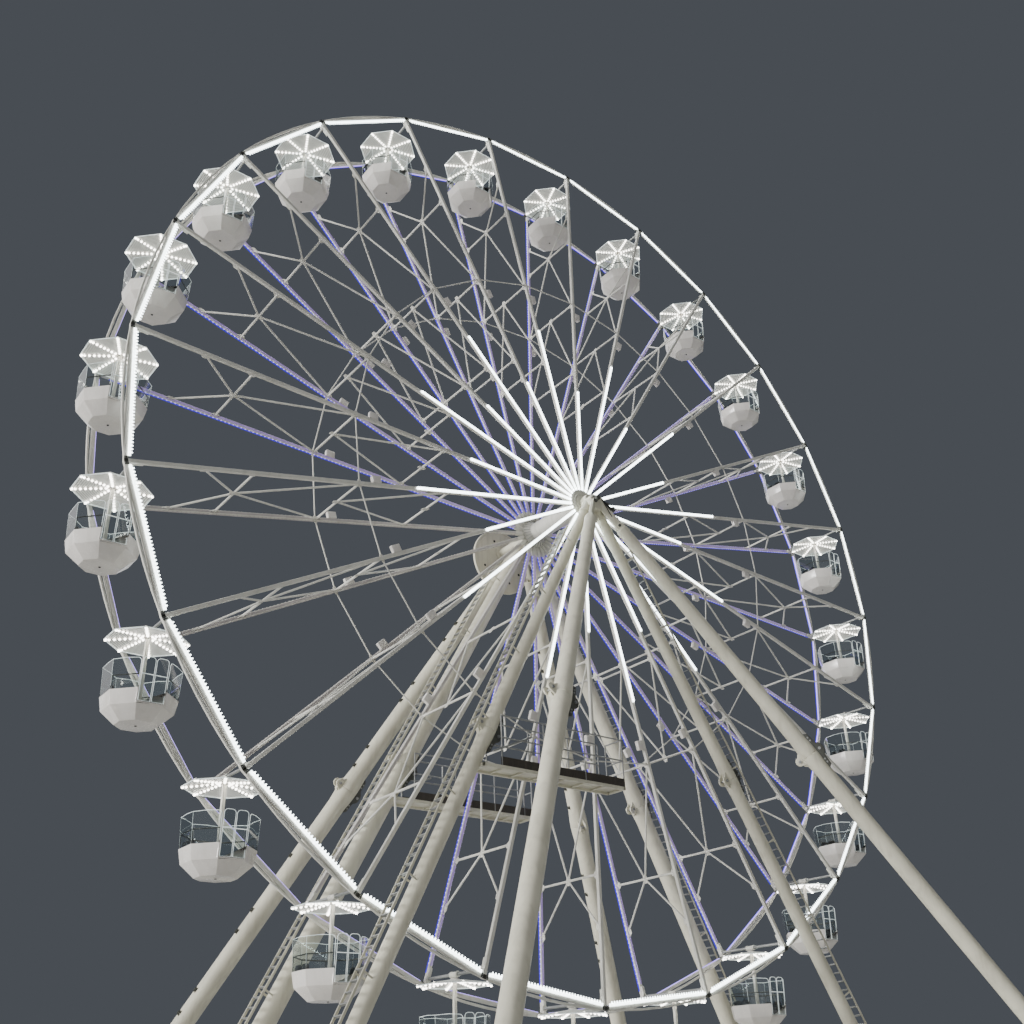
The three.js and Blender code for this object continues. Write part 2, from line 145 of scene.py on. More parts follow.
# Gondola, about its pivot; the tub's and the screens' pairs are a radius and its z
SIDES = 8
BOTTOM = (0.51, -2.44)
WAIST = (0.86, -2.13)
TUB_RIM = (0.93, -1.78)
SCREEN_TOP = (0.95, -1.0)
WALL = 0.045
DOOR_HALF = 0.33
SILL_Z = -2.095
# Door leaves: the middle, half width and bend of one, and its y at the sill and at the top
LEAF_X = 0.165
LEAF_HALF = 0.148
LEAF_BEND = 0.09
LEAF_TOP = -0.98
LEAF_Y = (-0.82, -0.895)
MAST_HALF = 0.045
MAST_Z = (-2.385, -0.075)
MAT_Z = -2.397
HANDRAIL_RADIUS = 0.90
HANDRAIL_Z = -1.42
CANOPY_RADIUS = 1.05
CANOPY_EDGE_Z = -0.27
CANOPY_PEAK_Z = -0.13

# Stage
CAMERA_PLACE = Vector((-22.380, -25.330, 1.786))
CAMERA_RIGHT = Vector((0.7903, -0.6119, -0.0317))
CAMERA_UP = Vector((-0.2724, -0.3973, 0.8763))
CAMERA_LENS = 37.53
# Suns: share of the key's strength, turn and apparent width in degrees
LIGHTS = {
    "key": (1.0, (83, 0, -104), 25),
    "camera_fill": (0.12, (75, 0, -40), 80),
    "top_fill": (0.14, (15, 0, -60), 80),
    "back": (0.15, (60, 0, 170), 60),
}


# Colours and materials


def linear(code):
    """The linear RGBA of an sRGB hex colour."""
    channels = [int(code[at : at + 2], 16) / 255 for at in (1, 3, 5)]
    return [c / 12.92 if c <= 0.04045 else ((c + 0.055) / 1.055) ** 2.4 for c in channels] + [1.0]


def add_node(tree, kind, inputs=None, **settings):
    """Adds a node, sets its settings, and fills or links its inputs."""
    node = tree.nodes.new(kind)
    for key, value in settings.items():
        setattr(node, key, value)
    for key, value in (inputs or {}).items():
        if isinstance(value, bpy.types.NodeSocket):
            tree.links.new(value, node.inputs[key])
        else:
            node.inputs[key].default_value = value
    return node


def new_finish(name, values):
    """A material with its shader's fixed values set; returns the parts that the patterns need."""
    material = bpy.data.materials.new(name)
    material.use_nodes = True
    tree = material.node_tree
    tree.nodes.clear()
    shader = add_node(tree, "ShaderNodeBsdfPrincipled", values)
    add_node(tree, "ShaderNodeOutputMaterial", {"Surface": shader.outputs["BSDF"]})
    place = add_node(tree, "ShaderNodeTexCoord").outputs["Object"]
    return material, tree, shader, place


def noise(tree, place, size, detail=3.0, stretch=(1.0, 1.0, 1.0)):
    """Noise whose blotches are about size metres across."""
    turned = add_node(tree, "ShaderNodeMapping", {"Vector": place, "Scale": stretch})
    values = {"Vector": turned.outputs["Vector"], "Scale": 1 / size, "Detail": detail}
    return add_node(tree, "ShaderNodeTexNoise", values).outputs["Fac"]


def ramp(tree, factor, low, high, start=0.35, end=0.65):
    """A two-colour ramp over the middle of a noise."""
    node = add_node(tree, "ShaderNodeValToRGB", {"Fac": factor})
    for element, place, colour in zip(node.color_ramp.elements, (start, end), (low, high)):
        element.position = place
        element.color = colour
    return node.outputs["Color"]


def span(tree, factor, low, high):
    """Spreads a noise over low to high."""
    values = {"Value": factor, "From Min": 0.3, "From Max": 0.7, "To Min": low, "To Max": high}
    return add_node(tree, "ShaderNodeMapRange", values).outputs["Result"]


def relief(tree, shader, height, strength, distance):
    """Bump from a height."""
    values = {"Height": height, "Strength": strength, "Distance": distance}
    bump = add_node(tree, "ShaderNodeBump", values)
    tree.links.new(bump.outputs["Normal"], shader.inputs["Normal"])


def coated(name, colour, soil, roughness, peel, coat=0.0, metallic=0.0, soiling=0.35):
    """A sprayed or moulded coat: faint cloudy patches, soil run down by rain, and a fine peel."""
    values = {"Metallic": metallic, "Coat Weight": coat, "Coat Roughness": 0.2, "IOR": 1.5}
    material, tree, shader, place = new_finish(name, values)
    faded = [c * 0.86 for c in colour[:3]] + [1.0]
    patches = ramp(tree, noise(tree, place, 0.9), faded, colour)
    runs = noise(tree, place, 0.16, 5.0, (1.0, 1.0, 0.12))
    values = {"Value": runs, "From Min": 0.5, "From Max": 0.85, "To Min": 0.0, "To Max": soiling}
    amount = add_node(tree, "ShaderNodeMapRange", values).outputs["Result"]
    values = {"Factor": amount, "A": patches, "B": soil}
    soiled = add_node(tree, "ShaderNodeMix", values, data_type="RGBA")
    mixed = [out for out in soiled.outputs if out.type == "RGBA"][0]
    tree.links.new(mixed, shader.inputs["Base Color"])
    fine = noise(tree, place, 0.05, 4.0)
    tree.links.new(span(tree, fine, *roughness), shader.inputs["Roughness"])
    relief(tree, shader, noise(tree, place, peel, 2.0), 0.25, peel * 0.05)
    return material


def glowing(name, colour, strength, body):
    """A lamp's diffuser: opal plastic lit from inside, a little brighter in patches. Also the
    painted lilac glow on the rear chords, which is no lamp.
    """
    values = {"Base Color": body, "Roughness": 0.35, "Emission Color": colour, "IOR": 1.49}
    material, tree, shader, place = new_finish(name, values)
    glow = span(tree, noise(tree, place, 0.06, 1.0), strength * 0.85, strength * 1.15)
    tree.links.new(glow, shader.inputs["Emission Strength"])
    return material


def make_materials(colours):
    """Every finish of the wheel, by name."""
    white = linear("#ffffff")
    made = [
        # Sprayed gloss enamel on steel: smooth with a faint peel (drawn 8 mm wide to show),
        # dulled in patches and streaked with soil in upright runs.
        coated("wheel_enamel", colours.wheel_enamel, linear("#8d8878"), (0.32, 0.5), 0.008, 0.25),
        coated("leg_enamel", colours.leg_enamel, linear("#837b66"), (0.34, 0.52), 0.008, 0.25),
        # Gelcoat on glass-fibre: the mirror of a polished mould with slow waves.
        coated(
            "gondola_gelcoat", colours.gondola_shell, linear("#a39a8b"), (0.16, 0.3), 0.05, 0.5,
            soiling=0.2,
        ),
        # Brushed-on machinery enamel over castings: dark, oily and uneven. The same dark finish is
        # painted shade on the legs' joint links, the rear outriggers' small ears and the rim's node
        # plates, which are cream-painted steel in shade.
        coated("machinery_enamel_and_painted_shade", linear("#4a4b45"), linear("#26241f"), (0.4, 0.65), 0.015),
        # Hot-dip galvanised steel: grey with lighter and darker crystals a few centimetres wide.
        coated(
            "galvanised_steel", linear("#a9aaa8"), linear("#6f6d68"), (0.38, 0.6), 0.02,
            metallic=0.85,
        ),
        # Painted plywood and plate walked on daily: dark brown-grey, scuffed.
        coated(
            "toe_board", linear("#3b362f"), linear("#5e564a"), (0.55, 0.8), 0.012, soiling=0.6
        ),
        # Rotation-moulded polyethylene: dull black with a fine orange-peel skin.
        coated("moulded_seat", colours.seat, linear("#15171a"), (0.45, 0.6), 0.006),
        # Cable sheath and bungs: vulcanised rubber, matt with grey bloom.
        coated("rubber", linear("#1d1d1f"), linear("#3a3936"), (0.6, 0.85), 0.004),
    ]

    # Cast acrylic bent over a former: clear, faintly hazed by cleaning marks.
    values = {"Base Color": linear("#f4fafa"), "IOR": 1.49, "Transmission Weight": 1.0}
    material, tree, shader, place = new_finish("clear_acrylic", values)
    hazed = noise(tree, place, 0.12, 6.0)
    tree.links.new(span(tree, hazed, 0.0, 0.03), shader.inputs["Roughness"])
    relief(tree, shader, noise(tree, place, 0.35, 1.0), 0.05, 0.004)
    made.append(material)

    # Painted glint: the edges of the acrylic sheets are drawn as pale threads that glow faintly,
    # standing for the light they gather and the highlight along them.
    values = {"Roughness": 0.25, "IOR": 1.49, "Emission Strength": 0.7}
    material, tree, shader, place = new_finish("acrylic_edge_glint", values)
    pale = ramp(tree, noise(tree, place, 0.2), linear("#c3cfcf"), linear("#edf4f2"))
    tree.links.new(pale, shader.inputs["Base Color"])
    tree.links.new(pale, shader.inputs["Emission Color"])
    made.append(material)

    # Ribbed opal polycarbonate: milky, with shallow ribs along the eaves every 60 mm, and a
    # little of its lamps' light spread through it.
    values = {"Transmission Weight": 0.12, "IOR": 1.58, "Emission Strength": 0.35}
    material, tree, shader, place = new_finish("canopy_polycarbonate", values)
    sheet = add_node(tree, "ShaderNodeUVMap", uv_map="eaves").outputs["UV"]
    values = {"Vector": sheet, "Scale": math.tau / 20 / 0.060, "Distortion": 0.0}
    bands = {"wave_type": "BANDS", "bands_direction": "X", "wave_profile": "SIN"}
    ribs = add_node(tree, "ShaderNodeTexWave", values, **bands).outputs["Fac"]
    lines = ramp(tree, ribs, linear("#8f918b"), linear("#d3d5cf"), 0.05, 0.45)
    tree.links.new(lines, shader.inputs["Base Color"])
    tree.links.new(lines, shader.inputs["Emission Color"])
    tree.links.new(span(tree, noise(tree, place, 0.2), 0.3, 0.5), shader.inputs["Roughness"])
    relief(tree, shader, ribs, 0.4, 0.004)
    made.append(material)

    made += [
        # Opal diffusers over light-emitting diodes: white on the front, violet at the back, with
        # lilac beads and tube where they are brightest.
        glowing("white_light", colours.white_light, 7.0, white),
        glowing("warm_lamp", linear("#fffaf0"), 9.0, white),
        glowing("violet_light", colours.violet_light, 0.6, linear("#1c0690")),
        glowing("lilac_light", linear("#b9a2ff"), 1.8, linear("#8a78d0")),
        # Enamel of the rear chords in the lilac light of their strips.
        glowing("lilac_glow", linear("#9a6cf0"), 0.22, linear("#b8a6cc")),
        # The same diffusers on the spokes that are switched off: milky plastic, faintly grey.
        coated("opal_strip", linear("#bdb6b4"), linear("#8f8880"), (0.3, 0.45), 0.006),
        # Trowelled plaster floor, rolled white: even, with broad faint clouds.
        coated(
            "studio_floor", linear("#d8d7d3"), linear("#c9c7c1"), (0.7, 0.85), 0.2, soiling=0.2
        ),
    ]
    return {material.name: material for material in made}


# Mesh building


def vec(*values):
    return Vector(values[0] if len(values) == 1 else values)


def angles(low, high, step):
    """Whole degrees from low to high, in radians."""
    return [math.radians(a) for a in range(low, high + 1, step)]


def square_to(along, way):
    """The direction nearest to way that is square to along."""
    return (way - along * along.dot(way)).normalized()


def section(width, depth, chamfer=0.0):
    """The outline of a bar, its corners taken off."""
    a, b, c = width / 2, depth / 2, chamfer
    if not c:
        return [(-a, -b), (a, -b), (a, b), (-a, b)]
    return [
        (-a + c, -b), (a - c, -b), (a, -b + c), (a, b - c),
        (a - c, b), (-a + c, b), (-a, b - c), (-a, -b + c),
    ]


def skin(mesh, rings, closed=False):
    """Faces between rings of points or single points, and over both ends unless closed."""
    rows = [[mesh.verts.new(point) for point in ring] for ring in rings]
    count = max(len(row) for row in rows)
    for low, high in zip(rows, rows[1:] + (rows[:1] if closed else [])):
        for at in range(count):
            after = (at + 1) % count
            corners = (
                low[at % len(low)], low[after % len(low)],
                high[after % len(high)], high[at % len(high)],
            )
            mesh.faces.new(list(dict.fromkeys(corners)))
    if not closed:
        for row in (rows[0], rows[-1]):
            if len(row) > 2:
                mesh.faces.new(row)


def add_prism(mesh, outline, origin, across, up, length):
    """An outline of (across, up) points run out by half a length to both sides of origin."""
    reach = across.cross(up).normalized() * (length / 2)
    middle = [origin + across * a + up * b for a, b in outline]
    skin(mesh, [[point - reach for point in middle], [point + reach for point in middle]])


def add_bar(mesh, start, end, width, depth, up=Z, chamfer=0.0):
    """A bar from start to end: width across, depth along up."""
    start, end = vec(start), vec(end)
    axis = (end - start).normalized()
    across = up.cross(axis)
    if across.length < 1e-4:
        across = X.cross(axis)
    across.normalize()
    outline = section(width, depth, chamfer)
    add_prism(mesh, outline, (start + end) / 2, across, axis.cross(across), (end - start).length)


def add_box(mesh, low, high, chamfer=0.0):
    """An upright box between two corners, its upright edges chamfered."""
    low, high = vec(low), vec(high)
    size = high - low
    outline = section(size.x, size.y, chamfer)
    add_prism(mesh, outline, (low + high) / 2, X, Y, size.z)


def circle(centre, across, other, radius, sides, phase=0.0):
    """Points round a centre, from across towards other."""
    turns = [phase + math.tau * at / sides for at in range(sides)]
    return [centre + (across * math.cos(a) + other * math.sin(a)) * radius for a in turns]


def add_turned(mesh, profile, origin, axis, sides=24, closed=False, start=None, phase=0.0):
    """A profile of (radius, distance along the axis) turned round the axis."""
    axis = vec(axis).normalized()
    if start is None:
        start = axis.cross(Z if abs(axis.z) < 0.9 else X)
    start = start.normalized()
    other = start.cross(axis)
    rings = []
    for radius, along in profile:
        centre = vec(origin) + axis * along
        ring = circle(centre, start, other, radius, sides, phase) if radius else [centre]
        rings.append(ring)
    skin(mesh, rings, closed)


def add_tube(mesh, start, end, radius, sides=12):
    """A round bar from start to end."""
    start, end = vec(start), vec(end)
    axis = end - start
    add_turned(mesh, [(radius, 0), (radius, axis.length)], start, axis, sides)


def add_pin(mesh, middle, way, half, radius, sides=16):
    """A round pin that reaches half its length to both sides of its middle."""
    add_tube(mesh, middle - way * half, middle + way * half, radius, sides)


def add_sweep(mesh, points, radius, sides=8, closed=False):
    """A round bar along a line of points."""
    points = [vec(p) for p in points]
    count = len(points)
    rings = []
    across = None
    for at, point in enumerate(points):
        before = points[at - 1] if at or closed else point
        after = points[(at + 1) % count] if at < count - 1 or closed else point
        axis = (after - before).normalized()
        if across is None:
            across = axis.cross(Z if abs(axis.z) < 0.9 else X).normalized()
        across = (across - axis * across.dot(axis)).normalized()
        rings.append(circle(point, across, axis.cross(across), radius, sides))
    skin(mesh, rings, closed)


def add_cap(mesh, origin, axis, radius, height, sides=8):
    """A small domed lens or nut standing on a surface."""
    profile = [(radius, -0.002), (radius, height * 0.45), (radius * 0.6, height), (0, height)]
    add_turned(mesh, [(0, -0.002)] + profile, origin, axis, sides)


def add_bolt(mesh, origin, axis, radius):
    """A hexagon head on its washer."""
    wide, thick = radius * 1.35, radius * 0.2
    washer = [(0, -0.001), (wide, -0.001), (wide, thick), (0, thick)]
    add_turned(mesh, washer, origin, axis, 10)
    low, edge, top = radius * 0.15, radius * 0.85, radius * 0.95
    add_turned(mesh, [(0, low), (radius, low), (radius, edge), (0, top)], origin, axis, 6)


# Finishing and placing


def bake(piece):
    """Replaces the piece's mesh by what its modifiers make of it."""
    graph = bpy.context.evaluated_depsgraph_get()
    data = bpy.data.meshes.new_from_object(piece.evaluated_get(graph))
    piece.modifiers.clear()
    old = piece.data
    piece.data = data
    data.name = piece.name
    bpy.data.meshes.remove(old)


def round_edges(piece, width, angle=30):
    """Rounds the edges that are sharper than an angle in degrees."""
    rounding = piece.modifiers.new("rounding", "BEVEL")
    rounding.width = width
    rounding.segments = 2
    rounding.limit_method = "ANGLE"
    rounding.angle_limit = math.radians(angle)
    bake(piece)


def thicken(piece, thickness):
    """Gives a sheet its thickness, half to each side."""
    modifier = piece.modifiers.new("thickness", "SOLIDIFY")
    modifier.thickness = thickness
    modifier.offset = 0
    bake(piece)


def new_object(mesh, name, finish, bevel=0.0):
    """An object from a built mesh, its edges rounded by bevel metres."""
    bmesh.ops.recalc_face_normals(mesh, faces=mesh.faces)
    data = bpy.data.meshes.new(name)
    mesh.to_mesh(data)
    mesh.free()
    data.materials.append(finishes()[finish])
    piece = bpy.data.objects.new(name, data)
    bpy.context.scene.collection.objects.link(piece)
    if bevel:
        round_edges(piece, bevel)
    return piece


def settle(piece, body, slot=None, replaces=(), sharp=35):
    """Shades the piece and hands it to its body."""
    piece.data.shade_smooth()
    piece.data.set_sharp_from_angle(angle=math.radians(sharp))
    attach(piece, body)
    if replaces:
        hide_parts(*replaces)


def on_stand(mesh, name, finish, bevel=0.0, slot=None, replaces=(), sharp=35):
    """Finishes a shape and hands it to the stand."""
    settle(new_object(mesh, name, finish, bevel), "stand", slot, replaces, sharp)


def copies_tree():
    """The tree that repeats a shape in a row, and the row in a ring round an axis."""
    found = bpy.data.node_groups.get("rows_round_axis")
    if found:
        return found
    tree = bpy.data.node_groups.new("rows_round_axis", "GeometryNodeTree")
    for name, kind in (
        ("Geometry", "Geometry"), ("Row Count", "Int"), ("Row Step", "Vector"),
        ("Copy Count", "Int"), ("First Angle", "Float"), ("Angle Step", "Float"),
        ("Axis", "Vector"), ("Centre", "Vector"), ("Material", "Material"),
    ):
        tree.interface.new_socket(name=name, in_out="INPUT", socket_type=f"NodeSocket{kind}")
    tree.interface.new_socket(name="Geometry", in_out="OUTPUT", socket_type="NodeSocketGeometry")
    given = add_node(tree, "NodeGroupInput").outputs
    values = {"Count": given["Row Count"], "Offset": given["Row Step"]}
    line = add_node(tree, "GeometryNodeMeshLine", values, mode="OFFSET").outputs[0]
    values = {"Points": line, "Instance": given["Geometry"]}
    row = add_node(tree, "GeometryNodeInstanceOnPoints", values).outputs[0]
    values = {"Count": given["Copy Count"], "Position": given["Centre"]}
    points = add_node(tree, "GeometryNodePoints", values).outputs[0]
    index = add_node(tree, "GeometryNodeInputIndex").outputs[0]
    values = {0: index, 1: given["Angle Step"], 2: given["First Angle"]}
    angle = add_node(tree, "ShaderNodeMath", values, operation="MULTIPLY_ADD").outputs[0]
    values = {"Axis": given["Axis"], "Angle": angle}
    turn = add_node(tree, "FunctionNodeAxisAngleToRotation", values).outputs[0]
    values = {"Points": points, "Instance": row, "Rotation": turn}
    ring = add_node(tree, "GeometryNodeInstanceOnPoints", values).outputs[0]
    real = add_node(tree, "GeometryNodeRealizeInstances", {"Geometry": ring}).outputs[0]
    values = {"Geometry": real, "Material": given["Material"]}
    painted = add_node(tree, "GeometryNodeSetMaterial", values).outputs[0]
    add_node(tree, "NodeGroupOutput", {"Geometry": painted})
    return tree


def repeat(
    piece, copies=1, first=0.0, step=0.0, axis=Y, centre=ORIGIN, rows=1, row_step=ORIGIN
):
    """Repeats the piece in a row and in a ring, as one plain mesh."""
    tree = copies_tree()
    modifier = piece.modifiers.new("copies", "NODES")
    modifier.node_group = tree
    values = {
        "Row Count": rows,
        "Row Step": tuple(row_step),
        "Copy Count": copies,
        "First Angle": first,
        "Angle Step": step,
        "Axis": tuple(axis),
        "Centre": tuple(centre),
        "Material": piece.data.materials[0],
    }
    for item in tree.interface.items_tree:
        if item.in_out == "INPUT" and item.name in values:
            modifier[item.identifier] = values[item.name]
    bake(piece)


def on_wheel(
    mesh, name, finish, slot=None, replaces=(), sharp=35, bevel=0.0,
    copies=SPOKES, first=0, every=1, rows=1, row_step=ORIGIN,
):
    """Finishes a shape drawn at three o'clock about the origin and sets it on the spokes."""
    piece = new_object(mesh, name, finish, bevel)
    turn = REST_TURN + first * STEP
    repeat(piece, copies, -turn, -every * STEP, Y, AXLE, rows, row_step)
    settle(piece, "wheel", slot, replaces, sharp)


def cabin_bodies():
    """Each gondola's number and the place of its pivot."""
    for number in range(1, SPOKES + 1):
        angle = REST_TURN + (number - 1) * STEP
        yield number, AXLE + Vector((math.cos(angle), 0, math.sin(angle))) * PIVOT_RADIUS


def to_gondolas(piece, part, slot=None, replaces=False, sharp=35):
    """Copies a piece drawn about the pivot to every gondola."""
    piece.data.shade_smooth()
    piece.data.set_sharp_from_angle(angle=math.radians(sharp))
    for number, pivot in cabin_bodies():
        data = piece.data.copy()
        data.transform(Matrix.Translation(pivot))
        name = f"gondola_{number:02}"
        copy = bpy.data.objects.new(f"{name}_{part}", data)
        bpy.context.scene.collection.objects.link(copy)
        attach(copy, f"{name}_body")
        if replaces:
            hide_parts(name)
    bpy.data.objects.remove(piece)


def in_gondolas(mesh, part, finish, bevel=0.0, slot=None, sharp=35):
    """Finishes a shape drawn about the pivot and copies it to every gondola."""
    to_gondolas(new_object(mesh, part, finish, bevel), part, slot, sharp=sharp)


# Wheel


def build_trusses(sizes):
    """The 24 spokes: chords, struts, braces and the gondolas' carriers."""
    mesh = bmesh.new()
    for side in (-1, 1):
        y = side * RIM_Y
        start, end = vec(CHORD_START, y, 0), vec(CHORD_END, y, 0)
        add_bar(mesh, start, end, CHORD, CHORD, Z, sizes.chord_chamfer)
        add_box(mesh, (CHORD_START, y - 0.085, -0.06), (CHORD_START + 0.022, y + 0.085, 0.06))
        add_box(mesh, (0.60, y - 0.062, -0.062), (0.86, y + 0.062, 0.062), 0.012)
        brace_end = vec(OUTER_BRACE, side * INNER_Y, 0)
        add_tube(mesh, brace_end, (STRUT_RADII[0], 0, 0), sizes.brace_radius, 10)
        for outer, inner in zip(STRUT_RADII, STRUT_RADII[1:]):
            add_tube(mesh, (outer, 0, 0), (inner, side * INNER_Y, 0), sizes.brace_radius, 10)
        for radius in (OUTER_BRACE, *STRUT_RADII):
            gusset = [
                (radius - 0.17, side * (INNER_Y + 0.01)),
                (radius + 0.17, side * (INNER_Y + 0.01)),
                (radius + 0.06, side * (INNER_Y - 0.13)),
                (radius - 0.06, side * (INNER_Y - 0.13)),
            ]
            add_prism(mesh, gusset, ORIGIN, X, Y, 0.014)
        arc = angles(30, 150, 15)
        nose = [(PIVOT_RADIUS + 0.09 * math.cos(a), 0.085 * math.sin(a)) for a in arc]
        edge = [(PIVOT_RADIUS + 0.2, 0.045), *nose, (PIVOT_RADIUS - 0.3, 0.045)]
        lug = edge + [(x, -z) for x, z in edge[::-1]]
        add_prism(mesh, lug, vec(0, side * (INNER_Y - 0.029), 0), X, Z, 0.06)
    for radius in STRUT_RADII:
        add_tube(mesh, (radius, -INNER_Y, 0), (radius, INNER_Y, 0), 0.035, 12)
        turns = angles(30, 330, 60)
        hexagon = [(radius + 0.15 * math.cos(a), 0.11 * math.sin(a)) for a in turns]
        add_prism(mesh, hexagon, ORIGIN, X, Y, 0.014)
    nodes = [f"spoke_{k:02}" for k in range(1, SPOKES + 1)]
    on_wheel(mesh, "spoke_trusses", "wheel_enamel", "wheel_paint", nodes, 30)

    mesh = bmesh.new()
    half = [
        (0.04, 0.195), (0.058, 0.20), (0.058, 0.235), (0.04, 0.24),
        (0.04, 1.297), (0.055, 1.297), (0.055, 1.31), (0, 1.31),
    ]
    profile = [(radius, -y) for radius, y in half[::-1]] + half
    add_turned(mesh, profile, (PIVOT_RADIUS, 0, 0), Y, 16)
    on_wheel(mesh, "gondola_pivot_rods", "galvanised_steel")

    mesh = bmesh.new()
    for side in (-1, 1):
        for z in (-0.04, 0.04):
            for across in (-0.072, 0.072):
                add_bolt(mesh, (0.542, side * RIM_Y + across, z), X, 0.012)
        for x in (0.66, 0.73, 0.80):
            add_bolt(mesh, (x, side * (RIM_Y + 0.062), 0), Y * side, 0.016)
        plates = [radius + shift for radius in STRUT_RADII for shift in (-0.1, 0.1)]
        for x in plates + [OUTER_BRACE - 0.09, OUTER_BRACE + 0.09]:
            for way in (-1, 1):
                add_bolt(mesh, (x, side * (INNER_Y - 0.035), 0.007 * way), Z * way, 0.014)
    on_wheel(mesh, "spoke_bolts", "galvanised_steel")


def build_rims(sizes):
    """The two 24-sided rims, the round hoops on them and their node plates."""
    for name, side in (("front_rim", -1), ("rear_rim", 1)):
        mesh = bmesh.new()
        outline = section(CHORD, CHORD, sizes.chord_chamfer)
        profile = [(RIM_RADIUS + a, side * RIM_Y + b) for a, b in outline]
        add_turned(mesh, profile, AXLE, Y, SPOKES, True, X, REST_TURN)
        hoop = [(HOOP_RADIUS + a, side * RIM_Y + b) for a, b in section(*HOOP_SECTION)]
        add_turned(mesh, hoop, AXLE, Y, SPOKES * 6, True, X, REST_TURN)
        beam = new_object(mesh, f"{name}_beam", "wheel_enamel")
        settle(beam, "wheel", "wheel_paint", [name], 20)

    plates, bolts = bmesh.new(), bmesh.new()
    half = STEP / 2
    for side in (-1, 1):
        for turn in (-1, 1):
            along = Vector((-math.sin(half * turn), 0, math.cos(half * turn))) * turn
            out = Vector((math.cos(half * turn), 0, math.sin(half * turn)))
            face = Vector((RIM_RADIUS, side * (FACE_Y + 0.006), 0))
            add_prism(plates, section(0.13, 0.104, 0.01), face + along * 0.05, along, out, 0.014)
            inner = Vector((RIM_RADIUS, side * RIM_Y, 0)) - out * 0.061
            add_prism(plates, section(0.2, 0.1, 0.01), inner + along * 0.1, along, Y, 0.014)
            for up in (-0.03, 0.03):
                place = face + Y * (side * 0.007) + along * 0.07 + out * up
                add_bolt(bolts, place, Y * side, 0.013)
            for reach in (0.05, 0.15):
                add_bolt(bolts, inner - out * 0.007 + along * reach, -out, 0.013)
    # The node plates are cream-painted steel; their dark finish is painted shade.
    on_wheel(plates, "rim_node_plates", "machinery_enamel_and_painted_shade", sharp=20)
    on_wheel(bolts, "rim_bolts", "galvanised_steel")


def build_ties(sizes):
    """The ring ties between neighbouring spokes, and the lighting boxes on the chords."""
    mesh = bmesh.new()
    for side in (-1, 1):
        ends = []
        for turn, way in ((0.0, 1), (STEP, -1)):
            out = Vector((math.cos(turn), 0, math.sin(turn)))
            along = Vector((-math.sin(turn), 0, math.cos(turn)))
            foot = out * TIE_RADIUS + along * (way * 0.055) + Y * (side * RIM_Y)
            add_prism(mesh, section(0.1, 0.012), foot + along * (way * 0.03), out, Y, 0.07)
            ends.append(foot + along * (way * 0.05))
        add_tube(mesh, ends[0], ends[1], sizes.tie_radius, 10)
    on_wheel(mesh, "ring_ties", "wheel_enamel", "wheel_paint")

    mesh = bmesh.new()
    for side in (-1, 1):
        centre = Vector((BOX_RADIUS, side * RIM_Y, -CHORD / 2 - 0.115))
        add_prism(mesh, section(0.30, 0.23, 0.012), centre, X, Z, 0.12)
        add_prism(mesh, section(0.27, 0.20, 0.01), centre - Y * 0.062, X, Z, 0.008)
        add_tube(mesh, centre - X * 0.19 + Z * 0.06, centre - X * 0.14 + Z * 0.06, 0.014, 8)
    on_wheel(mesh, "lighting_boxes", "gondola_gelcoat", bevel=0.004)


def build_hub(sizes):
    """The hub: a drum between two ringed flanges."""
    mesh = bmesh.new()
    half = [
        (0.186, 1.46), (0.225, 1.46), (0.235, 1.44), (0.265, 1.44), (0.28, 1.465), (0.315, 1.465),
        (0.33, 1.43), (0.36, 1.43), (0.375, 1.46), (0.41, 1.46), (0.425, 1.425), (0.455, 1.425),
        (0.465, 1.44), (0.495, 1.44), (0.505, 1.41), (0.519, 1.405), (0.519, 1.295),
        (0.50, 1.29), (0.33, 1.11),
    ]
    profile = half + [(radius, -y) for radius, y in half[::-1]]
    add_turned(mesh, profile, AXLE, Y, 96, True, X)
    settle(new_object(mesh, "hub", "wheel_enamel"), "wheel", "wheel_paint", ["wheel_hub"])
    mesh = bmesh.new()
    for side in (-1, 1):
        for radius, y in ((0.345, 1.429), (0.48, 1.439)):
            add_bolt(mesh, (radius, side * y, 0), Y * side, 0.012)
        web = [(0.325, 1.08), (0.505, 1.27), (0.505, 1.3), (0.325, 1.3)]
        add_prism(mesh, [(x, side * y) for x, y in web], ORIGIN, X, Y, 0.012)
    on_wheel(mesh, "hub_bolts_and_webs", "galvanised_steel")


def segment_ends(radius, gap):
    """The ends of a rim segment's lighting at three o'clock, short of the nodes by gap."""
    low = Vector((radius, 0, 0))
    high = Vector((radius * math.cos(STEP), 0, radius * math.sin(STEP)))
    along = (high - low).normalized()
    return low + along * gap, high - along * gap, along


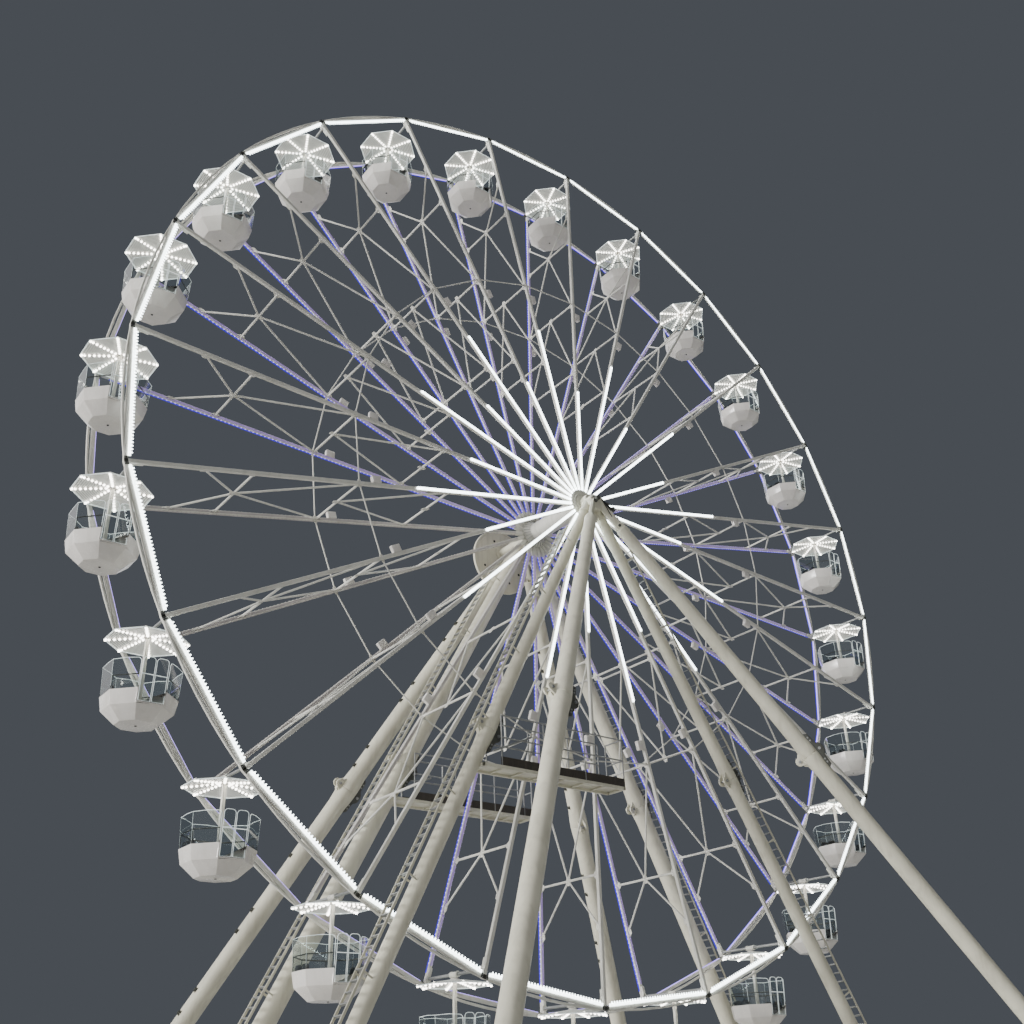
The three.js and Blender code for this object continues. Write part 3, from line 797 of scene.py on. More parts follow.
def build_rim_lights(sizes):
    """White bars with a toothed fringe on the front rim, and a violet strip inside the rear one."""
    out = Vector((math.cos(STEP / 2), 0, math.sin(STEP / 2)))
    start, end, along = segment_ends(BAR_RADIUS, RIM_BAR_GAP)
    shift = Y * -(FACE_Y + sizes.bar_depth / 2)
    mesh = bmesh.new()
    add_bar(mesh, start + shift, end + shift, sizes.bar_depth, sizes.bar_width, out, 0.012)
    on_wheel(mesh, "front_rim_light_bars", "white_light")

    mesh = bmesh.new()
    start, end = start + along * 0.05, end - along * 0.05
    count = int((end - start).length / sizes.fringe_pitch)
    step = (end - start) / count
    place = start + step / 2 + shift - out * (sizes.bar_width / 2)
    tooth = [(0, -0.003), (0.024, -0.003), (0.022, 0.03), (0.012, 0.048), (0, 0.05)]
    add_turned(mesh, tooth, place, -out, 6)
    on_wheel(mesh, "front_rim_light_fringe", "white_light", rows=count, row_step=step)

    mesh = bmesh.new()
    start, end, along = segment_ends(RIM_RADIUS, RIM_STRIP_GAP)
    shift = Y * (RIM_Y + 0.03) - out * (CHORD / 2 + 0.002)
    add_bar(mesh, start + shift, end + shift, 0.045, 0.008, out)
    on_wheel(mesh, "rear_rim_light_strip", "violet_light")
    mesh = bmesh.new()
    shift = Y * (RIM_Y - 0.022) - out * (CHORD / 2 + 0.004)
    add_bar(mesh, start + shift, end + shift, 0.055, 0.014, out, 0.004)
    on_wheel(mesh, "rear_rim_light_tube", "lilac_light")


def build_spoke_lights(sizes):
    """White beaded bars on the front chords near the hub, violet strips along the rear chords."""
    low, edge = SPOKE_BAR_START, sizes.spoke_bar_width / 2
    y = -FACE_Y - 0.02
    cap = [(0, -0.02), (edge - 0.012, -0.02), (edge, -0.008), (edge, 0.02), (0, 0.02)]
    for name, first, high in (("long", 1, LONG_BAR_END), ("short", 0, SHORT_BAR_END)):
        spread = {"copies": SPOKES // 2, "first": first, "every": 2}
        bars, beads = bmesh.new(), bmesh.new()
        add_bar(bars, (low, y, 0), (high, y, 0), 0.04, sizes.spoke_bar_width, Z, 0.014)
        for x in (low, high):
            add_turned(bars, cap, (x, y, 0), Y, 16)
        on_wheel(bars, f"front_spoke_light_bars_{name}", "white_light", **spread)
        count = int((high - low) / sizes.bead_pitch)
        step = ((high - low) / count, 0, 0)
        add_cap(beads, (low, y - 0.018, 0), -Y, 0.032, 0.022, 8)
        beads_name = f"front_spoke_light_beads_{name}"
        on_wheel(beads, beads_name, "white_light", rows=count + 1, row_step=step, **spread)

    lit = SPOKES - len(DARK_SPOKES)
    for name, first, copies, strip_finish, spill_finish, bead_finish in (
        ("", DARK_SPOKES[-1], lit, "violet_light", "lilac_glow", "lilac_light"),
        ("_unlit", DARK_SPOKES[0] - 1, len(DARK_SPOKES), *["opal_strip"] * 3),
    ):
        spread = {"copies": copies, "first": first}
        strips, spill, beads = bmesh.new(), bmesh.new(), bmesh.new()
        for way in (-1, 1):
            z = way * (CHORD / 2 + 0.003)
            strip = [(x, RIM_Y + 0.028, z) for x in STRIP_X]
            add_bar(strips, *strip, 0.05, 0.008)
            add_cap(beads, (BEADS_X[0], RIM_Y - 0.012, z), Z * way, 0.021, 0.014, 6)
        # A thin sheet on the inner face of each rear chord: on the lit spokes it glows faintly
        # lilac, painted light that stands for the strips' light on the enamel; on the unlit spokes
        # it is plain opal.
        add_bar(spill, *[(x, INNER_Y - 0.002, 0) for x in SPILL_X], 0.006, 0.07)
        on_wheel(strips, f"rear_spoke_light_strips{name}", strip_finish, **spread)
        on_wheel(spill, f"rear_chord_painted_spill{name}", spill_finish, **spread)
        count = int((BEADS_X[1] - BEADS_X[0]) / sizes.violet_pitch)
        step = (sizes.violet_pitch, 0, 0)
        beads_name = f"rear_spoke_light_beads{name}"
        on_wheel(beads, beads_name, bead_finish, rows=count, row_step=step, **spread)


# Gondolas


def octagon(radius, z):
    """The corners of an octagon with its flats to X and Y, from the one left of the doorway."""
    for at in range(SIDES):
        angle = math.radians(247.5 - 45 * at)
        yield Vector((radius * math.cos(angle), radius * math.sin(angle), z))


def cut(piece, cutter):
    """Takes the cutter out of the piece."""
    modifier = piece.modifiers.new("cut", "BOOLEAN")
    modifier.object = cutter
    modifier.operation = "DIFFERENCE"
    modifier.solver = "EXACT"
    bake(piece)
    bpy.data.objects.remove(cutter)


def build_shells(sizes):
    """The tub of each gondola, open at the doorway."""
    shell = bmesh.new()
    skin(shell, [octagon(*BOTTOM), octagon(*WAIST), octagon(*TUB_RIM)])
    tub = new_object(shell, "tub", "gondola_gelcoat")
    hollow = bmesh.new()
    skin(
        hollow,
        [
            octagon(BOTTOM[0] - 0.022, BOTTOM[1] + WALL),
            octagon(WAIST[0] - WALL, WAIST[1] + WALL / 2),
            octagon(TUB_RIM[0] - WALL, TUB_RIM[1] + 0.1),
        ],
    )
    cut(tub, new_object(hollow, "hollow", "gondola_gelcoat"))
    door = bmesh.new()
    add_box(door, (-DOOR_HALF, -1.2, SILL_Z), (DOOR_HALF, -0.6, TUB_RIM[1] + 0.1))
    cut(tub, new_object(door, "doorway", "gondola_gelcoat"))
    round_edges(tub, sizes.shell_rounding, 20)
    to_gondolas(tub, "tub", "gondola_shell", True, 30)

    mesh = bmesh.new()
    corners = list(octagon(TUB_RIM[0] - WALL / 2, TUB_RIM[1]))
    foot = Vector((DOOR_HALF + 0.012, -0.79, SILL_Z))
    post = Vector((DOOR_HALF + 0.012, corners[0].y, TUB_RIM[1]))
    flip = Vector((-1, 1, 1))
    ring = [foot * flip, post * flip, *corners, post, foot]
    add_sweep(mesh, ring, 0.02, 8)
    add_bar(mesh, foot * flip, foot, 0.06, 0.03, Z, 0.008)
    in_gondolas(mesh, "lip", "gondola_gelcoat", slot="gondola_shell")


def build_cabin_fittings(sizes):
    """Mast, bearing, feet, handrail, seats and mat of each gondola."""
    mesh = bmesh.new()
    half, (low, high) = MAST_HALF, MAST_Z
    add_box(mesh, (-half, -half, low), (half, half, high), 0.006)
    add_prism(mesh, section(0.24, 0.24, 0.03), vec(0, 0, low), X, Y, 0.02)
    for way in (-1, 1):
        for along in (X, Y):
            low, high = along * (way * 0.26) - Z * 2.37, along * (way * 0.035) - Z * 2.05
            add_tube(mesh, low, high, 0.018, 8)
    collar = [(0.046, 0.16), (0.079, 0.16), (0.079, 0.12), (0.066, 0.11)]
    bearing = [(radius, -y) for radius, y in collar] + collar[::-1]
    add_turned(mesh, bearing, (0, 0, 0), Y, 24, True)
    for way in (-1, 1):
        plate = [(-0.055, -0.062), (0.055, -0.062), (0.045, -0.18), (-0.045, -0.18)]
        add_prism(mesh, plate, vec(0, way * 0.052, 0), X, Z, 0.014)
    in_gondolas(mesh, "mast", "wheel_enamel", 0.003, "wheel_paint")

    mesh = bmesh.new()
    rail = list(octagon(HANDRAIL_RADIUS, HANDRAIL_Z))
    add_sweep(mesh, rail, 0.016, 8)
    share = (TUB_RIM[0] - WALL / 2) / HANDRAIL_RADIUS
    for corner in rail:
        add_sweep(mesh, [corner, (corner.x * share, corner.y * share, TUB_RIM[1])], 0.012, 8)
    in_gondolas(mesh, "handrail", "machinery_enamel_and_painted_shade")

    mesh = bmesh.new()
    back = [(-0.155, 0.0), (0.155, 0.0), (0.155, 0.25), (0.1, 0.32), (-0.1, 0.32), (-0.155, 0.25)]
    for hand in (-1, 1):
        for way in (-1, 1):
            seat = section(0.34, 0.33, 0.07)
            add_prism(mesh, seat, vec(hand * 0.59, way * 0.17, -1.955), X, Y, 0.06)
            lean = (Z + X * (hand * 0.06)).normalized()
            add_prism(mesh, back, vec(hand * 0.75, way * 0.17, -1.94), Y, lean, 0.045)
        add_prism(mesh, section(0.09, 0.6, 0.02), vec(hand * 0.58, 0, -2.095), X, Y, 0.23)
    in_gondolas(mesh, "seats", "moulded_seat", 0.014)

    mesh = bmesh.new()
    add_turned(mesh, [(0, 0), (0.42, 0), (0.42, 0.012), (0, 0.012)], (0, 0, MAT_Z), Z, 24)
    bung = [(0, -0.012), (0.028, -0.012), (0.034, 0), (0.034, 0.02), (0, 0.02)]
    add_turned(mesh, bung, (0, 0, BOTTOM[1]), Z, 12)
    in_gondolas(mesh, "mat_and_bung", "rubber")


def build_screens(sizes):
    """The bent clear screens and the two door leaves, with painted glints along their edges."""
    base = list(octagon(TUB_RIM[0] - 0.022, TUB_RIM[1]))
    top = list(octagon(*SCREEN_TOP))
    lengths = [0.0]
    for before, after in zip(base, base[1:]):
        lengths.append(lengths[-1] + (after - before).length)
    total = lengths[-1]
    height = SCREEN_TOP[1] - TUB_RIM[1]

    def place(distance, share):
        """The point at a distance along the screens and a share of their height."""
        at = max(k for k in range(SIDES - 1) if lengths[k] <= distance + 1e-9)
        part = (distance - lengths[at]) / (lengths[at + 1] - lengths[at])
        low = base[at].lerp(base[at + 1], part)
        return low.lerp(top[at].lerp(top[at + 1], part), share)

    rounded = sizes.screen_rounding
    stops = [rounded * (1 - math.cos(a)) for a in angles(0, 90, 15)]
    middles = [(a + b) / 2 for a, b in zip(lengths, lengths[1:])]
    distances = stops + middles + lengths[1:-1] + [total - s for s in stops]
    edge = []
    mesh = bmesh.new()
    rows = []
    for distance in sorted(set(round(d, 6) for d in distances)):
        near = min(distance, total - distance)
        drop = 0.0 if distance in [round(m, 6) for m in middles] else 0.018
        if near < rounded:
            drop += rounded - math.sqrt(max(0.0, rounded**2 - (rounded - near) ** 2))
        high = place(distance, 1 - drop / height)
        edge.append(high)
        rows.append((mesh.verts.new(place(distance, -0.03)), mesh.verts.new(high)))
    for before, after in zip(rows, rows[1:]):
        mesh.faces.new((before[0], after[0], after[1], before[1]))
    for hand in (-1, 1):
        mesh.faces.new([mesh.verts.new(point) for point in door_leaf(hand)])
    piece = new_object(mesh, "screens", "clear_acrylic")
    thicken(piece, sizes.screen_thickness)
    to_gondolas(piece, "screens", sharp=20)

    # Pale, faintly glowing sweeps along the screens' edges and seams, and the door leaves' bars:
    # painted glint.
    mesh = bmesh.new()
    add_sweep(mesh, [place(0, 0.0)] + edge + [place(total, 0.0)], 0.007, 6)
    for low, high in list(zip(base, top))[1:-1]:
        add_sweep(mesh, [low, low.lerp(high, 0.97)], 0.004, 6)
    for hand in (-1, 1):
        leaf = door_leaf(hand)
        add_sweep(mesh, leaf, 0.008, 6, True)
        add_sweep(mesh, [(leaf[at].x, LEAF_Y[1], HANDRAIL_Z) for at in (-1, 0)], 0.011, 6)
    in_gondolas(mesh, "screen_edge_glints", "acrylic_edge_glint")


def door_leaf(hand):
    """The outline of a door leaf: upright sides and a round top."""
    middle, top, bend = LEAF_HALF - LEAF_BEND, LEAF_TOP - LEAF_BEND, angles(0, 90, 18)
    right = [(middle + LEAF_BEND * math.cos(a), top + LEAF_BEND * math.sin(a)) for a in bend]
    right = [(LEAF_HALF, SILL_Z + 0.03), *right]
    points = right + [(-x, z) for x, z in right[::-1]]
    share = (LEAF_Y[0] - LEAF_Y[1]) / (LEAF_TOP - SILL_Z)
    return [vec(hand * LEAF_X + x, LEAF_Y[0] - share * (z - SILL_Z), z) for x, z in points]


def build_canopies(sizes):
    """The umbrella roof: eight ribs, panels between them, an edge tube with a painted glint and
    rows of lamps.
    """
    mesh = bmesh.new()
    sheet = mesh.loops.layers.uv.new("eaves")
    corners = list(octagon(CANOPY_RADIUS - 0.01, CANOPY_EDGE_Z + 0.018))
    peak = Vector((0, 0, CANOPY_PEAK_Z + 0.018))
    for low, high in zip(corners, corners[1:] + corners[:1]):
        middle = (low + high) / 2
        out = Vector((middle.x, middle.y, 0)).normalized()
        side = Z.cross(out)
        rows = []
        for share in (0.06, 0.25, 0.45, 0.65, 0.85, 1.0):
            sag = Z * (0.012 * math.sin(math.pi * share))
            points = (peak.lerp(low, share), peak.lerp(middle, share) - sag, peak.lerp(high, share))
            rows.append([mesh.verts.new(point) for point in points])
        for one, two in zip(rows, rows[1:]):
            for k in range(2):
                face = mesh.faces.new((one[k], one[k + 1], two[k + 1], two[k]))
                for loop in face.loops:
                    loop[sheet].uv = (loop.vert.co.dot(out), loop.vert.co.dot(side))
    bmesh.ops.remove_doubles(mesh, verts=mesh.verts, dist=1e-5)
    panels = new_object(mesh, "canopy", "canopy_polycarbonate")
    thicken(panels, sizes.canopy_thickness)
    to_gondolas(panels, "canopy_panels", sharp=8)

    start = Vector((0.05, 0, CANOPY_PEAK_Z - 0.002))
    corner = Vector((CANOPY_RADIUS - 0.016, 0, CANOPY_EDGE_Z))
    along = (corner - start).normalized()
    following = Matrix.Rotation(math.tau / SIDES, 3, "Z") @ corner
    ribs, edges, lamps, tips = (bmesh.new() for _ in range(4))
    add_bar(ribs, start, corner, 0.036, 0.02, Z, 0.005)
    add_tube(edges, corner, following, 0.013, 8)
    add_cap(lamps, start + along * 0.12 - Z * 0.008, -Z, 0.034, 0.04, 10)
    tip = [(0, -0.045), (0.028, -0.04), (0.036, -0.018), (0.036, 0.012), (0.026, 0.03), (0, 0.034)]
    add_turned(tips, tip, corner - X * 0.035, Z, 12)
    step = along * ((corner - start).length - 0.24) / (sizes.lamp_count - 1)
    for mesh, part, finish, slot, rows in (
        (ribs, "canopy_ribs", "gondola_gelcoat", "gondola_shell", 1),
        # The edge tube glows faintly as painted glint.
        (edges, "canopy_edge_glints", "acrylic_edge_glint", None, 1),
        (lamps, "canopy_lamps", "warm_lamp", None, sizes.lamp_count),
        (tips, "canopy_corner_lamps", "warm_lamp", None, 1),
    ):
        piece = new_object(mesh, part, finish)
        turn = math.tau / SIDES
        repeat(piece, SIDES, turn / 2, turn, Z, ORIGIN, rows, step)
        to_gondolas(piece, part, slot, sharp=60)

    mesh = bmesh.new()
    boss = [(0.055, -0.04), (0.12, -0.035), (0.15, -0.015), (0.15, 0.0), (0.1, 0.04), (0.055, 0.05)]
    add_turned(mesh, boss, (0, 0, CANOPY_PEAK_Z), Z, 24, True)
    in_gondolas(mesh, "canopy_boss", "gondola_gelcoat", slot="gondola_shell")


# Stand


def leg_line(side, hand, outrigger):
    """Head and foot of a leg's centre line, and the way it runs down."""
    head_y, foot_x, foot_y = OUTRIGGER_RUN if outrigger else MAIN_LEG_RUN
    head = Vector((hand * LEG_HEAD_X, side * head_y, AXLE.z - LEG_HEAD_DROP))
    foot = Vector((hand * foot_x, side * foot_y, 0))
    return head, foot, (foot - head).normalized()


def build_legs(sizes):
    """The eight raked legs with their hinged joints and feet."""
    for name, (side, hand, outrigger, radius) in LEGS.items():
        head, foot, along = leg_line(side, hand, outrigger)
        joint = (head.z - JOINT_HEIGHT) / -along.z
        end = (foot - head).length - LEG_END
        thin = radius * UPPER_SHARE
        first = (LUG_LENGTH if outrigger else STUB_LENGTH) + 0.0003
        mesh = bmesh.new()
        profile = [
            (0, first), (thin * 0.92, first), (thin * 1.05, first + 0.03),
            (thin * 1.05, first + 0.1), (thin, first + 0.13), (radius, joint - 0.6),
            (radius * 1.1, joint - 0.25), (radius * 1.12, joint - 0.015), (radius * 1.05, joint),
            (radius * 1.12, joint + 0.015), (radius * 1.1, joint + 0.2), (radius, joint + 0.55),
            (radius, end - 0.9), (radius * 1.12, end - 0.55), (radius * 1.12, end), (0, end),
        ]
        add_turned(mesh, profile, head, along, 40)
        if outrigger:
            half = [(1.02, 0.07), (1.06, 0.13), (1.42, 0.2), (1.62, 0.12)]
            fork = [(a, -b) for a, b in half] + half[::-1]
            up = square_to(along, Z)
            for way in (-1, 1):
                add_prism(mesh, fork, head + along.cross(up) * (way * 0.078), along, up, 0.034)
        for (x, y), low, high, chamfer in (
            (FOOT_PLATE, 0.0, 0.06, 0.06), (FOOT_BLOCK, 0.05, 0.3, 0.08)
        ):
            add_box(mesh, foot + vec(-x, -y, low), foot + vec(x, y, high), chamfer)
        web = [(-0.7, 0.06), (0.7, 0.06), (0.45, 0.42), (-0.45, 0.42)]
        for way in (-1, 1):
            add_prism(mesh, web, foot + Y * (way * 0.3), X, Z, 0.03)
        on_stand(mesh, f"{name}_tube", "leg_enamel", 0.006, "leg_paint", [name], 25)
        build_joint(name, head, along, joint, radius)
        if outrigger:
            build_pin_and_brackets(name, head, along, joint, radius)


def build_joint(name, head, along, joint, radius):
    """The hinge across a leg's joint: hooked ears on its left, a bolted link on its right.

    On the right outriggers the link lies on the upper side.
    """
    centre = head + along * joint
    lean = X
    if name.endswith("right_outrigger"):
        lean = Z + Y * math.copysign(LINK_LEAN, head.y)
    right = square_to(along, lean)
    across = along.cross(right)
    ears, link, pins = bmesh.new(), bmesh.new(), bmesh.new()
    arc = angles(-90, 90, 15)
    lobe = [(0.14 * math.sin(a) - 0.03, -0.11 - 0.14 * math.cos(a)) for a in arc]
    hook = [(-0.34, 0.06), *lobe, (0.2, 0.06)]
    left = centre - right * radius
    for shift in (-0.1, 0.1):
        add_prism(ears, hook, left + across * shift, along, right, 0.05)
    stop = [(0.03, 0.06), (0.03, -0.12), (0.16, -0.1), (0.3, 0.06)]
    add_prism(ears, stop, left, along, right, 0.13)
    face = centre + right * (radius * 0.97)
    half = [(0.62, 0.0), (0.56, 0.09), (0.22, 0.12), (0.16, 0.2), (0.08, 0.235)]
    outline = [(-a, b) for a, b in half] + half[::-1]
    for shift in (-0.085, 0.085):
        add_prism(link, outline, face + across * shift, along, right, 0.045)
    add_prism(link, [(-0.56, 0), (-0.56, 0.06), (0.56, 0.06), (0.56, 0)], face, along, right, 0.2)
    add_pin(pins, face + right * 0.13, across, 0.15, 0.045)
    add_pin(pins, left - right * 0.11 - along * 0.03, across, 0.16, 0.045)
    for shift in (-0.45, -0.34, 0.34, 0.45):
        for way in (-1, 1):
            place = face + right * 0.05 + along * shift + across * (way * 0.107)
            add_bolt(pins, place, across * way, 0.022)
    on_stand(ears, f"{name}_hinge_ears", "leg_enamel", 0.008, "leg_paint", sharp=30)
    # The link is leg-cream steel like the ears; its dark finish is painted shade.
    on_stand(link, f"{name}_joint_link", "machinery_enamel_and_painted_shade", 0.008, sharp=30)
    on_stand(pins, f"{name}_joint_pins", "galvanised_steel")


def build_pin_and_brackets(name, head, along, joint, radius):
    """The pin of an outrigger's top end; on the rear ones also pairs of small ears on the left."""
    right = square_to(along, X)
    across = along.cross(right)
    mesh = bmesh.new()
    for start in (3.9, joint + 1.9) if name.startswith("rear") else ():
        for pair in range(3):
            for shift in (0.0, BRACKET_GAP):
                along_leg = start + pair * BRACKET_PITCH + shift
                share = UPPER_SHARE + (1 - UPPER_SHARE) * min(1.0, along_leg / joint)
                foot = head + along * along_leg - right * (radius * share - 0.02)
                for way in (-1, 1):
                    ear = [(-0.1, 0.0), (0.1, 0.0), (0.03, -0.075), (-0.03, -0.075)]
                    add_prism(mesh, ear, foot + across * (way * 0.04), along, right, 0.014)
                add_pin(mesh, foot - right * 0.05, across, 0.055, 0.013, 8)
    side = along.cross(square_to(along, Z))
    add_pin(mesh, head + along * (LUG_LENGTH - 0.13), side, 0.13, 0.05)
    # The small ears' dark finish is painted shade; the top pin shares this piece and its finish.
    on_stand(mesh, f"{name}_brackets", "machinery_enamel_and_painted_shade", 0.004, sharp=30)


def build_ladders(sizes):
    """The ladders along the outward side of the four main legs, with flat treads."""
    for name, (side, hand, outrigger, radius) in LEGS.items():
        if outrigger:
            continue
        head, foot, along = leg_line(side, hand, outrigger)
        length = (foot - head).length
        high, run = length * 0.08, length * 0.84
        outward = square_to(along, X * hand)
        across = outward.cross(along)
        base = head + along * high + outward * (radius + LADDER_GAP)
        mesh = bmesh.new()
        for way in (-1, 1):
            edge = base + across * (way * LADDER_HALF)
            add_bar(mesh, edge, edge + along * run, 0.03, 0.07, outward, 0.006)
            for at in range(8):
                stop = 0.4 + at * (run - 0.8) / 7
                root = head + along * (high + stop) + across * (way * radius * 0.5)
                add_bar(mesh, root, edge + along * stop, 0.012, 0.05, along)
        on_stand(mesh, f"{name}_ladder", "leg_enamel", slot="leg_paint")
        mesh = bmesh.new()
        first = base + along * 0.15
        reach = across * 0.185
        add_bar(mesh, first - reach, first + reach, sizes.tread_depth, 0.03, along, 0.006)
        count = int((run - 0.3) / sizes.rung_pitch) + 1
        rungs = new_object(mesh, f"{name}_rungs", "galvanised_steel")
        repeat(rungs, rows=count, row_step=along * sizes.rung_pitch)
        settle(rungs, "stand")


def build_platforms(sizes):
    """The service platforms that reach in from the left main legs."""
    for name, side in (("front", -1), ("rear", 1)):
        low_y, high_y = sorted(side * y for y in DECK_Y)
        low_x, high_x = DECK_X
        floor, top = DECK_Z
        mesh = bmesh.new()
        z = floor + BEAM_DEPTH / 2
        for y in (low_y + 0.03, high_y - 0.03):
            add_bar(mesh, (low_x, y, z), (high_x, y, z), 0.06, BEAM_DEPTH)
        for x in (low_x + 0.03, high_x - 0.03):
            add_bar(mesh, (x, low_y, z), (x, high_y, z), 0.06, BEAM_DEPTH)
        z = floor + 0.04
        for at in range(1, JOISTS + 1):
            x = low_x + (high_x - low_x) * at / (JOISTS + 1)
            add_bar(mesh, (x, low_y + 0.05, z), (x, high_y - 0.05, z), 0.05, 0.05)
        low, high = (low_x + 0.02, low_y + 0.02, top - 0.02), (high_x - 0.02, high_y - 0.02, top)
        add_box(mesh, low, high)
        on_stand(mesh, f"{name}_platform_deck", "leg_enamel", 0.004, "leg_paint")

        mesh = bmesh.new()
        toe = top + TOE_HEIGHT / 2
        for y in (low_y + 0.02, high_y - 0.02):
            add_bar(mesh, (RAIL_X[0], y, toe), (RAIL_X[1], y, toe), 0.025, TOE_HEIGHT)
        x = RAIL_X[1] - 0.02
        add_bar(mesh, (x, low_y, toe), (x, high_y, toe), 0.025, TOE_HEIGHT)
        on_stand(mesh, f"{name}_platform_toe_boards", "toe_board")

        mesh = bmesh.new()
        radius = sizes.handrail_radius
        left, right = RAIL_X[0] + RAIL_INSET, RAIL_X[1] - RAIL_INSET
        outer, inner = side * (DECK_Y[1] - RAIL_INSET), side * (DECK_Y[0] + RAIL_INSET)
        heights = [top + RAIL_HEIGHT * share - RAIL_INSET for share in (MID_RAIL_SHARE, 1.0)]
        for z in heights:
            add_tube(mesh, (left, outer, z), (right, outer, z), radius, 10)
            add_tube(mesh, (right, outer, z), (right, inner, z), radius, 10)
            corner = vec(right - 0.42, inner, z - 0.1)
            bend = angles(0, 90, 15)
            turn = [corner + vec(0.1 * math.sin(a), 0, 0.1 * math.cos(a)) for a in bend]
            add_sweep(mesh, [(left, inner, z), *turn, (turn[-1].x, inner, top)], radius, 10)
        for at in range(4):
            x = left + (right - left) * at / 3
            for y in (outer, inner):
                add_tube(mesh, (x, y, top - 0.06), (x, y, heights[1]), radius, 10)
        head, _, along = leg_line(side, -1, False)
        knee = head + along * ((head.z - top - 0.9) / -along.z)
        add_tube(mesh, (knee.x, outer, top + 0.35), (RAIL_X[0] + 1.1, outer, top + 0.95), 0.03, 10)
        on_stand(mesh, f"{name}_platform_rails", "galvanised_steel")


def build_axle(sizes):
    """The fixed axle with its two heads, the machinery on them and the disc behind."""
    mesh = bmesh.new()
    profile = [
        (0, -1.86), (0.13, -1.86), (0.172, -1.83), (0.172, -1.62), (0.2, -1.60), (0.2, -1.53),
        (0.172, -1.50), (0.172, 1.50), (0.2, 1.53), (0.2, 1.60), (0.172, 1.62), (0.172, 3.25),
        (0, 3.25),
    ]
    add_turned(mesh, profile, AXLE, Y, 48)
    half = [
        (0.2, HEAD_BOTTOM), (HEAD_HALF, HEAD_BOTTOM + 0.16), (HEAD_HALF, HEAD_TOP - 0.1),
        (0.2, HEAD_TOP),
    ]
    block = half + [(-a, b) for a, b in half[::-1]]
    dome = [(0.23 * math.cos(a), 0.205 * math.sin(a)) for a in angles(0, 180, 15)]
    cap = [(-0.23, -0.07), (0.23, -0.07), *dome]
    gusset = [(-0.26, -0.5), (0.26, -0.5), (0.1, -0.95), (-0.1, -0.95)]
    for side in (-1, 1):
        depth = HEAD_FAR - HEAD_NEAR
        middle = AXLE + Y * (side * (HEAD_NEAR + depth / 2))
        add_prism(mesh, block, middle, X, Z, depth - 0.03)
        rim = [(a * 0.94, b * 0.97) for a, b in block]
        add_prism(mesh, rim, middle, X, Z, depth)
        add_prism(mesh, cap, AXLE + Y * (side * 1.73), X, Z, 0.18)
        add_prism(mesh, gusset, AXLE + Y * (side * 1.93), X, Z, 0.03)
        for hand in (-1, 1):
            head, _, along = leg_line(side, hand, False)
            end = STUB_LENGTH
            stub = [(0.18, 0.0), (0.18, end - 0.12), (0.2, end - 0.09), (0.2, end)]
            add_turned(mesh, stub, head, along, 32)
            head, _, along = leg_line(side, hand, True)
            end, turn = LUG_LENGTH - 0.13, angles(-90, 90, 15)
            nose = [(end + 0.13 * math.cos(a), 0.13 * math.sin(a)) for a in turn]
            outline = [(0, -0.13), *nose, (0, 0.13)]
            add_prism(mesh, outline, head, along, square_to(along, Z), 0.11)
    on_stand(mesh, "axle_and_heads", "leg_enamel", 0.008, "leg_paint", ["main_axle"], 25)

    mesh, cables, bolts = bmesh.new(), bmesh.new(), bmesh.new()
    for side in (-1, 1):
        near, far = sorted((side * 1.80, side * 2.14))
        add_box(mesh, (0.28, near, AXLE.z - 0.42), (0.6, far, AXLE.z - 0.12), 0.04)
        add_box(mesh, (0.6, near + 0.05, AXLE.z - 0.38), (0.74, far - 0.05, AXLE.z - 0.2), 0.03)
        drum = [(0, 0), (0.11, 0), (0.11, 0.03), (0.085, 0.04), (0.085, 0.2), (0, 0.2)]
        add_turned(mesh, drum, AXLE + vec(0.62, side * 2.1, -0.4), Y * side, 24)
        add_turned(mesh, drum, AXLE + vec(-0.12, side * 2.16, -0.2), Y * side, 24)
        for x, z in ((-0.22, -0.12), (0.22, -0.12), (0.22, -0.42), (-0.22, -0.42), (0, -0.08)):
            add_bolt(bolts, AXLE + vec(x, side * HEAD_FAR, z), Y * side, 0.024)
        for turn in angles(15, 165, 30):
            rim = vec(0.19 * math.cos(turn), side * 1.82, 0.17 * math.sin(turn))
            add_bolt(bolts, AXLE + rim, Y * side, 0.016)
        for out, drop in ((0.30, 0.34), (0.42, 0.2), (0.52, 0.12)):
            points = []
            for at in range(13):
                share = at / 12
                sag = math.sin(share * math.pi)
                x = 0.16 + (out + 0.3) * share
                y = side * (2.22 + 0.14 * sag)
                points.append(AXLE + vec(x, y, -0.12 - 0.75 * share - drop * sag))
            add_sweep(cables, points, 0.014, 8)
    on_stand(mesh, "axle_machinery", "machinery_enamel_and_painted_shade", 0.01, sharp=30)
    on_stand(cables, "axle_cables", "rubber")
    on_stand(bolts, "head_bolts", "galvanised_steel")

    mesh = bmesh.new()
    profile = [
        (0.0, -0.045), (1.16, -0.045), (1.17, -0.03), (1.20, -0.03), (1.21, -0.05), (1.27, -0.05),
        (DISC_RADIUS, -0.035), (DISC_RADIUS, 0.035), (1.27, 0.045), (0.0, 0.045),
    ]
    add_turned(mesh, profile, DISC_CENTRE, Y, 96)
    add_turned(mesh, [(0, 0), (0.3, 0), (0.3, 0.1), (0, 0.1)], AXLE + Y * 3.2, Y, 32)
    on_stand(mesh, "rear_disc", "leg_enamel", slot="leg_paint", sharp=30)
    mesh = bmesh.new()
    for at in range(DISC_HOLES):
        angle = math.tau * (at + 0.5) / DISC_HOLES
        out = Vector((math.cos(angle), 0, math.sin(angle)))
        place = DISC_CENTRE + out * DISC_HOLE_RING - Y * 0.047
        add_turned(mesh, [(0, 0), (0.05, 0), (0.05, 0.096), (0, 0.096)], place, Y, 16)
    on_stand(mesh, "rear_disc_holes", "rubber")


# Stage


